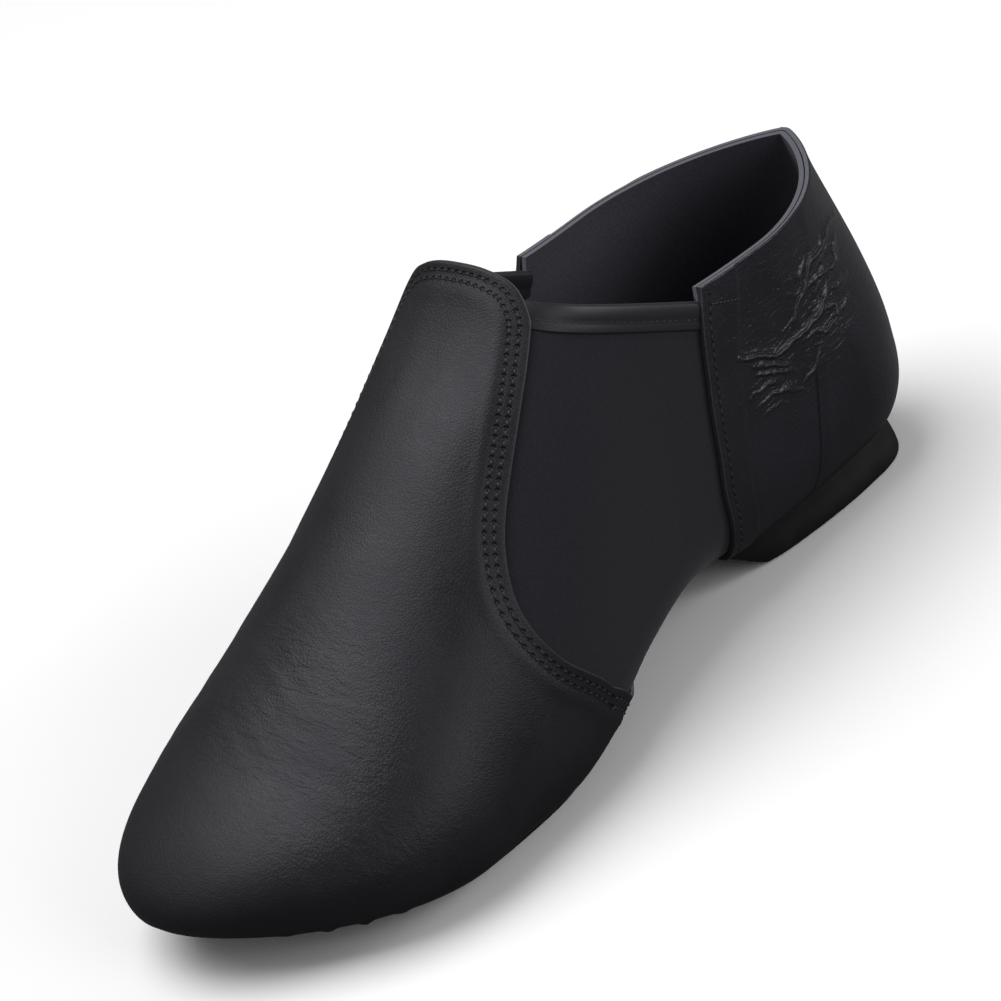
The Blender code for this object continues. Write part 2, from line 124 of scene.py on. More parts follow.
SECTIONS: tuple[Section, ...] = (
    Section(0.00, 0.000, 0.345, 0.345, 1.00, 0.0, 1.60, 0.095, 0.80, 2.0, 2.2),
    Section(0.10, 0.000, 0.348, 0.345, 1.00, 0.0, 1.62, 0.095, 0.80, 2.0, 2.2),
    Section(0.20, 0.005, 0.347, 0.347, 1.00, 0.0, 1.60, 0.100, 0.79, 2.1, 2.2),
    Section(0.30, 0.014, 0.350, 0.343, 1.06, 0.0, 1.48, 0.115, 0.68, 2.1, 2.2),
    Section(0.40, 0.018, 0.368, 0.350, 1.25, 0.0, 1.24, 0.145, 0.50, 2.0, 2.45),
    Section(0.50, 0.020, 0.415, 0.380, 0.85, 0.0, 1.00, 0.165, 0.60, 2.0, 2.8),
    Section(0.58, 0.016, 0.465, 0.425, 0.30, 0.0, 0.86, 0.175, 0.76, 2.1, 2.4),
    Section(0.66, 0.006, 0.500, 0.470, 0.00, 0.0, 0.72, 0.195, 0.85, 2.2, 2.1),
    Section(0.74, -0.012, 0.518, 0.495, 0.00, 0.0, 0.585, 0.220, 0.86, 2.2, 2.0),
    Section(0.82, -0.040, 0.545, 0.495, 0.00, 0.10, 0.455, 0.260, 0.85, 2.2, 1.95),
    Section(0.90, -0.072, 0.540, 0.480, 0.00, 0.45, 0.345, 0.310, 0.83, 2.1, 1.95),
    Section(1.00, -0.115, 0.470, 0.450, 0.00, 1.00, 0.275, 0.400, 0.75, 2.0, 2.0),
)


@dataclass(frozen=True)
class HeelStep:
    """How far the heel's back line stands in, as a share of the length, at a share of its height."""

    height: float
    set_in: float


HEEL_LINE: tuple[HeelStep, ...] = (
    HeelStep(0.00, 0.040),
    HeelStep(0.16, 0.034),
    HeelStep(0.19, 0.018),
    HeelStep(0.24, 0.006),
    HeelStep(0.33, 0.000),
    HeelStep(0.62, 0.000),
    HeelStep(0.80, 0.004),
    HeelStep(1.00, 0.016),
    HeelStep(1.60, 0.050),
)


@dataclass(frozen=True)
class SeamStep:
    """Where the quarter ends and the vamp begins on a row, as shares of the length."""

    row: float
    quarter: float
    gore: float


SEAMS: tuple[SeamStep, ...] = (
    SeamStep(0.0, 0.324, 0.458),
    SeamStep(1.0, 0.334, 0.494),
    SeamStep(1.5, 0.348, 0.552),
    SeamStep(2.0, 0.352, 0.587),
    SeamStep(2.3, 0.342, 0.634),
    SeamStep(2.5, 0.334, 0.645),
    SeamStep(2.7, 0.322, 0.626),
    SeamStep(2.8, 0.315, 0.596),
    SeamStep(2.9, 0.306, 0.539),
    SeamStep(3.0, 0.295, 0.462),
)


def smooth_curve(where: np.ndarray, places: Sequence[float], values: Sequence[float]) -> np.ndarray:
    """A smooth curve through a table: cubic pieces whose slopes blend their neighbours'.

    Args:
        where: places to read the curve at.
        places: the table's places, rising.
        values: the table's values there.

    Returns:
        The curve's values.
    """
    x, y = np.asarray(places, float), np.asarray(values, float)
    secant = np.diff(y) / np.diff(x)
    slope = np.empty_like(y)
    slope[1:-1] = 0.5 * (secant[:-1] + secant[1:])
    slope[1:-1][secant[:-1] * secant[1:] <= 0] = 0.0
    slope[0], slope[-1] = secant[0], secant[-1]
    where = np.clip(np.asarray(where, float), x[0], x[-1])
    k = np.clip(np.searchsorted(x, where) - 1, 0, len(x) - 2)
    span = x[k + 1] - x[k]
    t = (where - x[k]) / span
    return (
        (2 * t**3 - 3 * t**2 + 1) * y[k]
        + (t**3 - 2 * t**2 + t) * span * slope[k]
        + (3 * t**2 - 2 * t**3) * y[k + 1]
        + (t**3 - t**2) * span * slope[k + 1]
    )


def lookup(where: np.ndarray, places: np.ndarray, values: np.ndarray) -> np.ndarray:
    """Straight-line lookup in a table of its own for each point.

    Args:
        where: one place for each point.
        places: each point's own places, rising along its line.
        values: each point's own values.

    Returns:
        One value for each point.
    """
    k = np.clip((places <= where[:, None]).sum(axis=1) - 1, 0, places.shape[1] - 2)
    pick = np.arange(len(where))
    low, high = places[pick, k], places[pick, k + 1]
    t = np.clip((where - low) / np.maximum(high - low, 1e-12), 0, 1)
    return values[pick, k] + (values[pick, k + 1] - values[pick, k]) * t


def rounding(share: np.ndarray) -> np.ndarray:
    """A quarter circle from 0 at an end of the last to 1 where the rounding is done."""
    return np.sqrt(np.clip(1 - (1 - np.clip(share, 0, 1)) ** 2, 0, None))


def smoothstep(value: np.ndarray, low: float, high: float) -> np.ndarray:
    """A soft step from 0 at low to 1 at high."""
    t = np.clip((value - low) / (high - low), 0, 1)
    return t * t * (3 - 2 * t)


@dataclass
class Last:
    """The form that the shoe is made on, with the sizes of the solids."""

    length: float = 0.2400
    heel_centre: float = 0.0325
    ball_width: float = 0.0815
    instep_height: float = 0.0990
    toe_tip_height: float = 0.0165
    toe_spring: float = 0.0080
    underside_height: float = 0.0063
    heel_lift: float = 0.0070
    back_height: float = 0.0800
    corner_height: float = 0.0815
    collar_dip: float = 0.0020
    gore_rear_height: float = 0.0775
    gore_front_height: float = 0.0995
    vamp_edge: float = 0.462
    quarter_edge: float = 0.295
    collar_step: float = 0.004
    heel_round: float = 0.125
    collar_round: float = 0.200
    collar_point: float = 1.8
    heel_turn: float = 0.045
    heel_turn_height: float = 0.0008
    toe_round: float = 0.230
    toe_turn: float = 0.070
    toe_dome: float = 0.105
    corner_cut: float = 0.0034
    corner_reach: float = 0.0115
    steps: int = 61

    def column(self, name: str, along: np.ndarray) -> np.ndarray:
        """One column of the table of sections at shares of the length."""
        return smooth_curve(along, [s.along for s in SECTIONS], [getattr(s, name) for s in SECTIONS])

    def half_width(self, along: np.ndarray, side: Side) -> np.ndarray:
        """Half width of the last from its middle line, on one side."""
        full = self.ball_width * self.column(side.name.lower(), along)
        return full * rounding(along / self.heel_round) * rounding((1 - along) / self.toe_round)

    def middle(self, along: np.ndarray) -> np.ndarray:
        """The middle line's X."""
        return self.ball_width * self.column("centre", along)

    def pinch(self, along: np.ndarray, z: np.ndarray) -> np.ndarray:
        """How much narrower the last is towards the collar's back.

        Args:
            along: shares of the length.
            z: heights.

        Returns:
            A factor for each distance across.
        """
        rise = np.clip((z / self.back_height - 0.4) / 0.6, 0, 1)
        narrow = rounding(along / self.collar_round) ** self.collar_point
        narrow = narrow / np.maximum(rounding(along / self.heel_round), 1e-6)
        return 1 + (narrow - 1) * rise * rise * (3 - 2 * rise)

    def underside(self, along: np.ndarray) -> np.ndarray:
        """Height of the last's underside over the floor.

        Args:
            along: shares of the length.

        Returns:
            The heights.
        """
        low = self.underside_height + self.heel_lift * self.column("lift", along)
        low = low + self.toe_spring * self.column("spring", along)
        low = low + self.heel_turn_height * (1 - rounding(along / self.heel_turn))
        return self.toe_tip_height + (low - self.toe_tip_height) * rounding((1 - along) / self.toe_turn)

    def ridge(self, along: np.ndarray) -> np.ndarray:
        """Height of the last's top line over the floor."""
        high = self.instep_height * self.column("ridge", along)
        return self.toe_tip_height + (high - self.toe_tip_height) * rounding((1 - along) / self.toe_dome)

    def outline(self, along: np.ndarray, side: Side) -> tuple[np.ndarray, np.ndarray, np.ndarray]:
        """Half sections as points from the bottom centre to the ridge.

        Args:
            along: shares of the length, one for each section.
            side: the half to make.

        Returns:
            Share of the run, distance across and height, a line for each section.
        """
        half = self.half_width(along, side)[:, None]
        low, high = self.underside(along)[:, None], self.ridge(along)[:, None]
        widest = low + (high - low) * self.column("widest", along)[:, None]
        flat = half * self.column("flat", along)[:, None]
        turn = np.linspace(0, math.pi / 2, self.steps)[None, :]
        sine, cosine = np.sin(turn).clip(0, 1), np.cos(turn).clip(0, 1)
        edge, crown = 2 / self.column("edge", along)[:, None], 2 / self.column("crown", along)[:, None]
        across = np.hstack(
            (np.zeros_like(half), flat + (half - flat) * sine**edge, half * cosine[:, 1:] ** crown)
        )
        height = np.hstack(
            (low, widest - (widest - low) * cosine**edge, widest + (high - widest) * sine[:, 1:] ** crown)
        )
        steps = np.hypot(np.diff(across), np.diff(height))
        run = np.hstack((np.zeros_like(half), np.cumsum(steps, axis=1)))
        return run / np.maximum(run[:, -1:], 1e-9), across, height

    @property
    def gore_start(self) -> float:
        """Share of the length at which the gore's lower top edge begins."""
        return self.quarter_edge + self.collar_step

    def collar_height(self, along: np.ndarray) -> np.ndarray:
        """Height of the collar over the floor: the leather quarter, then the lower gore.

        Args:
            along: shares of the length.

        Returns:
            The heights.
        """
        share = along / self.quarter_edge
        dip = self.collar_dip * (1 - (2 * share - 1) ** 2)
        quarter = self.back_height + (self.corner_height - self.back_height) * share - dip
        step = (along - self.quarter_edge) / self.collar_step
        drop = self.corner_height + (self.gore_rear_height - self.corner_height) * step
        gore = (along - self.gore_start) / (self.vamp_edge - self.gore_start)
        rise = self.gore_rear_height + (self.gore_front_height - self.gore_rear_height) * gore
        return np.where(along <= self.quarter_edge, quarter, np.where(along < self.gore_start, drop, rise))

    def collar_share(self, along: np.ndarray, side: Side) -> np.ndarray:
        """How far up the run from the broadest line to the ridge row 3 lies.

        Args:
            along: shares of the length.
            side: the half.

        Returns:
            A share for each place.
        """
        near = np.minimum(along, self.vamp_edge)
        run, _, height = self.outline(near, side)
        side_run = run[:, self.steps]
        return (lookup(self.collar_height(near), height, run) - side_run) / (1 - side_run)

    def place(self, along: np.ndarray, across: np.ndarray, z: np.ndarray, side: Side) -> np.ndarray:
        """Points in the frame from shares of the length, distances across and heights.

        Args:
            along: shares of the length.
            across: distances from the middle line.
            z: heights.
            side: the half.

        Returns:
            The points.
        """
        x = self.middle(along) + side.value * across * self.pinch(along, z)
        heights, insets = [s.height for s in HEEL_LINE], [s.set_in for s in HEEL_LINE]
        set_in = smooth_curve(z / self.back_height, heights, insets)
        fade = np.clip(1 - along / self.heel_round, 0, None) ** 2
        return np.stack((x, self.heel_centre - self.length * (along + set_in * fade), z), axis=-1)

    def point(self, along: np.ndarray, side: Side, row: np.ndarray) -> np.ndarray:
        """Points of the last.

        Args:
            along: shares of the length.
            side: the half they are on.
            row: 0 to 1 under the foot, to 2 at the broadest line, to 3 at the collar, to 4 at the ridge.

        Returns:
            A point for each pair.
        """
        run, across, height = self.outline(along, side)
        side_run = run[:, self.steps]
        collar_run = side_run + (1 - side_run) * self.collar_share(along, side)
        rows = np.concatenate(([0.0], np.linspace(1, 2, self.steps), [3.0, 4.0]))
        shares = np.hstack((run[:, : self.steps + 1], collar_run[:, None], np.ones((len(along), 1))))
        share = lookup(row, np.broadcast_to(rows, shares.shape), shares)
        return self.place(along, lookup(share, run, across), lookup(share, run, height), side)

    def pair(self, along: np.ndarray, row: np.ndarray) -> tuple[np.ndarray, np.ndarray]:
        """The points of the last on the lateral and on the medial side."""
        return self.point(along, Side.LATERAL, row), self.point(along, Side.MEDIAL, row)

    def seam(self, seam: Seam, row: np.ndarray) -> np.ndarray:
        """Share of the length at which a seam crosses rows. The vamp's top corner is rounded.

        Args:
            seam: which seam.
            row: the rows.

        Returns:
            A share for each row.
        """
        row = np.asarray(row, float)
        shares = [getattr(s, seam.value) for s in SEAMS]
        where = smooth_curve(np.minimum(row, 3), [s.row for s in SEAMS], shares)
        if seam is Seam.GORE:
            reach = np.where(row < 3, (3 - row) * 0.060, (row - 3) * 0.030) / self.corner_reach
            where = where + self.corner_cut / self.length * np.clip(1 - reach, 0, 1) ** 2
        return where

    def along_zone(self, zone: Zone, rib: np.ndarray, row: np.ndarray) -> np.ndarray:
        """Shares of the length of ribs' points on rows. A rib runs from 0 at the rear to 1.

        Args:
            zone: the stretch of the last.
            rib: places in the zone.
            row: their rows.

        Returns:
            A share for each place.
        """
        quarter, gore = self.seam(Seam.QUARTER, row), self.seam(Seam.GORE, row)
        if zone is Zone.HEEL:
            return quarter * (1 - np.cos(rib * math.pi / 2))
        if zone is Zone.GORE:
            return quarter + (gore - quarter) * rib
        return 1 - (1 - gore) * (1 - np.sin(rib * math.pi / 2))


def stretches(*marks: tuple[float, int]) -> list[float]:
    """Places in stretches of even steps.

    Args:
        *marks: where each stretch begins and how many steps it has. The last gives the end.

    Returns:
        The places, with both ends.
    """
    places: list[float] = []
    for (start, steps), (end, _) in zip(marks, marks[1:]):
        places += [float(p) for p in np.linspace(start, end, steps + 1)[:-1]]
    return [*places, float(marks[-1][0])]


@dataclass
class Skin:
    """An open surface on the last, with the way out at each point."""

    co: np.ndarray
    out: np.ndarray
    row: np.ndarray
    faces: list[tuple[int, ...]]
    rims: list[tuple[int, int]]

    @classmethod
    def over(
        cls, last: Last, zones: dict[Zone, Sequence[float]], rows: Sequence[float], crown: Sequence[float]
    ) -> Skin:
        """Lays a skin over zones of the last.

        Args:
            last: the last.
            zones: the ribs of each zone that is covered.
            rows: the rows from the bottom centre to the collar.
            crown: the rows over the vamp, from the collar to the ridge.

        Returns:
            The skin, with its halves and zones joined.
        """
        bm = bmesh.new()
        layer = bm.verts.layers.float.new("row")
        for side in Side:
            for zone, ribs in zones.items():
                levels = np.asarray([*rows, *(crown if zone is Zone.VAMP else ())])
                rib, row = np.meshgrid(np.asarray(ribs), levels, indexing="ij")
                along = last.along_zone(zone, rib.ravel(), row.ravel())
                points = last.point(along, side, row.ravel())
                verts = [bm.verts.new(p) for p in points]
                for vert, value in zip(verts, row.ravel()):
                    vert[layer] = value
                wide = len(levels)
                for i in range(len(ribs) - 1):
                    for j in range(wide - 1):
                        a = i * wide + j
                        corners = [verts[a], verts[a + wide], verts[a + wide + 1], verts[a + 1]]
                        bm.faces.new(corners if side is Side.MEDIAL else corners[::-1])
        bmesh.ops.remove_doubles(bm, verts=bm.verts, dist=WELD)
        bm.normal_update()
        bm.verts.index_update()
        co = np.array([v.co for v in bm.verts])
        out = np.array([v.normal for v in bm.verts])
        row = np.array([v[layer] for v in bm.verts])
        faces = [tuple(v.index for v in f.verts) for f in bm.faces]
        loops = [e.link_loops[0] for e in bm.edges if e.is_boundary]
        rims = [(loop.vert.index, loop.link_loop_next.vert.index) for loop in loops]
        bm.free()
        return cls(co, out, row, faces, rims)

    def at(self, lift: np.ndarray | float) -> np.ndarray:
        """The skin's points moved outwards."""
        return self.co + self.out * np.broadcast_to(np.asarray(lift, float), len(self.co))[:, None]


@dataclass
class Edge:
    """A line of a piece's edge, as close points, with the run along it."""

    points: np.ndarray
    run: np.ndarray = field(init=False)
    tree: KDTree = field(init=False)

    def __post_init__(self) -> None:
        """Measures the line and prepares it for lookups."""
        steps = np.linalg.norm(np.diff(self.points, axis=0), axis=1)
        self.run = np.concatenate(([0.0], np.cumsum(steps)))
        self.tree = KDTree(len(self.points))
        for k, point in enumerate(self.points):
            self.tree.insert(point, k)
        self.tree.balance()

    @property
    def total(self) -> float:
        """The line's whole length."""
        return float(self.run[-1])

    def measure(self, points: np.ndarray) -> tuple[np.ndarray, np.ndarray]:
        """The run and the distance of the nearest place on the line, for each point.

        Args:
            points: the points.

        Returns:
            The runs and the distances.
        """
        nearest = np.array([self.tree.find(p)[1] for p in points])
        best, where = np.full(len(points), np.inf), np.zeros(len(points))
        for start in (np.maximum(nearest - 1, 0), np.minimum(nearest, len(self.points) - 2)):
            base, step = self.points[start], self.points[start + 1] - self.points[start]
            square = np.maximum((step**2).sum(axis=1), 1e-18)
            share = np.clip(((points - base) * step).sum(axis=1) / square, 0, 1)
            gap = np.linalg.norm(points - base - step * share[:, None], axis=1)
            run = self.run[start] + share * np.linalg.norm(step, axis=1)
            where, best = np.where(gap < best, run, where), np.minimum(gap, best)
        return where, best

    def read(self, run: np.ndarray) -> np.ndarray:
        """Points at runs along the line."""
        return np.stack([np.interp(run, self.run, self.points[:, k]) for k in range(3)], axis=-1)


@dataclass
class Chart:
    """Finds places on a piece from the run along its edge and the distance from it."""

    faces: Sequence[tuple[int, ...]]
    run: np.ndarray
    distance: np.ndarray
    outer: np.ndarray
    total: float
    reach: float = 0.020
    half_run: float = 0.0012
    half_across: float = 0.0010
    kept: list[tuple[int, ...]] = field(init=False)
    tree: BVHTree = field(init=False)

    def __post_init__(self) -> None:
        """Lays the faces near the edge out flat."""
        corners = np.array([face for face in self.faces if len(face) == 4])
        spread = np.ptp(self.run[corners], axis=1)
        near = (self.distance[corners].min(axis=1) < self.reach) & (spread < 0.1 * self.total)
        self.kept = [tuple(face) for face in corners[near]]
        flat = np.column_stack((self.run, self.distance, np.zeros(len(self.run))))
        self.tree = BVHTree.FromPolygons(flat.tolist(), self.kept)

    def find(self, run: float, distance: float) -> np.ndarray:
        """The point of the outer side at a place of the chart.

        Args:
            run: the run along the edge.
            distance: the distance from it.

        Returns:
            The point.
        """
        spot, _, index, _ = self.tree.find_nearest(Vector((run, distance, 0.0)))
        corners = list(self.kept[index])
        flat = [Vector((self.run[v], self.distance[v], 0.0)) for v in corners]
        weights = np.array(poly_3d_calc(flat, spot))
        return weights @ self.outer[corners]

    def lay(
        self, places: Iterable[tuple[float, float]], turn: bool = False
    ) -> tuple[np.ndarray, np.ndarray, np.ndarray]:
        """Points for threads.

        Args:
            places: run and distance of each thread.
            turn: whether the threads lie across the edge, not along it.

        Returns:
            The points, the way each thread runs and the way out.
        """
        spots, ways, outs = [], [], []
        middle = self.outer.mean(axis=0)
        for run, distance in places:
            along = self.find(run + self.half_run, distance) - self.find(run - self.half_run, distance)
            low, high = distance - self.half_across, distance + self.half_across
            across = self.find(run, high) - self.find(run, low)
            out = np.cross(along, across)
            spot = self.find(run, distance)
            out *= np.sign(out @ (spot - middle)) / max(np.linalg.norm(out), 1e-12)
            spots.append(spot)
            ways.append(across if turn else along)
            outs.append(out)
        return np.array(spots), np.array(ways), np.array(outs)


# Materials


@dataclass(frozen=True)
class StitchRows:
    """Rows of stitches beside an edge."""

    distances: tuple[float, ...]
    pitch: float = 0.0028
    hole: float = 0.00052


class Nodes:
    """Builds a tree of nodes, for a material or for geometry."""

    def __init__(self, tree: bpy.types.NodeTree) -> None:
        """Takes the tree that is built."""
        self.tree = tree

    def link(self, source: Socket, target: Socket) -> None:
        """Joins two sockets."""
        self.tree.links.new(source, target)

    def feed(self, socket: Socket, value: object) -> None:
        """Sets or joins a socket.

        Args:
            socket: the input.
            value: a number, a colour or another socket.
        """
        if isinstance(value, Socket):
            self.link(value, socket)
        else:
            socket.default_value = value

    def node(
        self, kind: str, inputs: dict[str | int, object] | None = None, **settings: object
    ) -> bpy.types.Node:
        """Adds a node.

        Args:
            kind: the node's type.
            inputs: a value or a socket for each input, by its name or number.
            **settings: its properties.

        Returns:
            The node.
        """
        made = self.tree.nodes.new(kind)
        for name, value in settings.items():
            setattr(made, name, value)
        for name, value in (inputs or {}).items():
            self.feed(made.inputs[name], value)
        return made

    def math(self, operation: str, *values: object) -> Socket:
        """One step of arithmetic with numbers or sockets."""
        return self.node("ShaderNodeMath", dict(enumerate(values)), operation=operation).outputs[0]

    def split(self, vector: Socket) -> tuple[Socket, ...]:
        """The X, Y and Z of a vector."""
        return tuple(self.node("ShaderNodeSeparateXYZ", {0: vector}).outputs)


class Shader(Nodes):
    """A small builder for one material's nodes."""

    def __init__(self, name: str) -> None:
        """Starts a material with a Principled shader.

        Args:
            name: the material's name.
        """
        self.material = bpy.data.materials.new(name)
        self.material.use_nodes = True
        super().__init__(self.material.node_tree)
        self.bsdf = self.tree.nodes["Principled BSDF"]
        self.coords = self.node("ShaderNodeTexCoord").outputs["Object"]

    def dress(self, sockets: dict[str, object]) -> bpy.types.Material:
        """Feeds the shader's own sockets.

        Args:
            sockets: a number, a colour or another socket for each name.

        Returns:
            The finished material.
        """
        for name, value in sockets.items():
            self.feed(self.bsdf.inputs[name], value)
        return self.material

    def gap(self, first: object, second: object) -> Socket:
        """How far two values are apart."""
        return self.math("ABSOLUTE", self.math("SUBTRACT", first, second))

    def reach(self, first: Socket, second: Socket) -> Socket:
        """The length of a step with two sides."""
        squares = self.math("MULTIPLY", first, first), self.math("MULTIPLY", second, second)
        return self.math("SQRT", self.math("ADD", *squares))

    def span(
        self, value: object, low: float, high: float, to_low: float = 0.0, to_high: float = 1.0
    ) -> Socket:
        """A soft change from to_low to to_high, while the value goes from low to high."""
        inputs = {"Value": value, "From Min": low, "From Max": high, "To Min": to_low, "To Max": to_high}
        return self.node("ShaderNodeMapRange", inputs, interpolation_type="SMOOTHSTEP").outputs["Result"]

    def mix(self, share: object, first: Socket | Triple, second: Triple) -> Socket:
        """A mix of two colours, with the share of the second."""
        base = first if isinstance(first, Socket) else (*first, 1)
        return self.node("ShaderNodeMix", {0: share, 6: base, 7: (*second, 1)}, data_type="RGBA").outputs[2]

    def edge_map(self) -> tuple[Socket, ...]:
        """The run along the piece's edge and the distance from it."""
        return self.split(self.node("ShaderNodeUVMap", uv_map="edge").outputs["UV"])[:2]

    def place(self, scale: Triple = (1, 1, 1), turn: Triple = (0, 0, 0)) -> Socket:
        """The piece's own coordinates, stretched and then turned by radians."""
        inputs = {"Vector": self.coords, "Scale": scale, "Rotation": turn}
        return self.node("ShaderNodeMapping", inputs).outputs["Vector"]

    def noise(
        self, where: Socket, scale: float, detail: float = 3.0, rough: float = 0.55, bend: float = 0.0
    ) -> Socket:
        """Cloudy noise from 0 to 1, with the detail and strength of its finer layers."""
        inputs = {"Vector": where, "Scale": scale, "Detail": detail, "Roughness": rough, "Distortion": bend}
        return self.node("ShaderNodeTexNoise", inputs).outputs["Fac"]

    def cells(self, where: Socket, scale: float, feature: str = "DISTANCE_TO_EDGE") -> Socket:
        """Cells, such as a leather's grain, and what is measured in each."""
        inputs = {"Vector": where, "Scale": scale}
        return self.node("ShaderNodeTexVoronoi", inputs, feature=feature).outputs["Distance"]

    def bump(self, height: Socket, depth: float, strength: float = 1.0) -> None:
        """Adds a layer of relief over those already there.

        Args:
            height: the relief, from 0 to 1.
            depth: how deep it is, in metres.
            strength: how clearly it shows.
        """
        made = self.node("ShaderNodeBump", {"Height": height, "Distance": depth, "Strength": strength})
        before = self.bsdf.inputs["Normal"]
        if before.is_linked:
            self.link(before.links[0].from_socket, made.inputs["Normal"])
        self.link(made.outputs["Normal"], before)

    def holes(self, rows: StitchRows) -> Socket:
        """The needle holes beside the piece's edge.

        Args:
            rows: the rows of stitches.

        Returns:
            How deep each place lies in a hole, from 0 to 1.
        """
        run, distance = self.edge_map()
        run = self.math("SUBTRACT", self.math("WRAP", run, rows.pitch, 0.0), rows.pitch / 2)
        depth: object = 0.0
        for line in rows.distances:
            near = self.reach(run, self.math("SUBTRACT", distance, line))
            depth = self.math("MAXIMUM", depth, self.span(near, rows.hole * 0.45, rows.hole * 1.10, 1.0, 0.0))
        return depth


@dataclass(frozen=True)
class CrumplePatch:
    """The leaning oval on each side of the quarter in which the leather is crumpled."""

    y: float = -0.007
    z: float = 0.057
    length: float = 0.030
    height: float = 0.016
    cosine: float = 0.97
    sine: float = 0.24
    faintest: float = 0.32


@dataclass(frozen=True)
class BallBend:
    """The stretch of the vamp that bends with the foot, along Y, leaning with X."""

    start: float = -0.186
    end: float = -0.150
    lean: float = 0.30
    stretch: Triple = (150, 560, 420)
    depth: float = 0.00026
    # painted shade: the dark colour that the toe's colour is mixed towards
    toe_painted_shade: Triple = (0.003, 0.003, 0.004)
    toe_dullness: float = 0.28


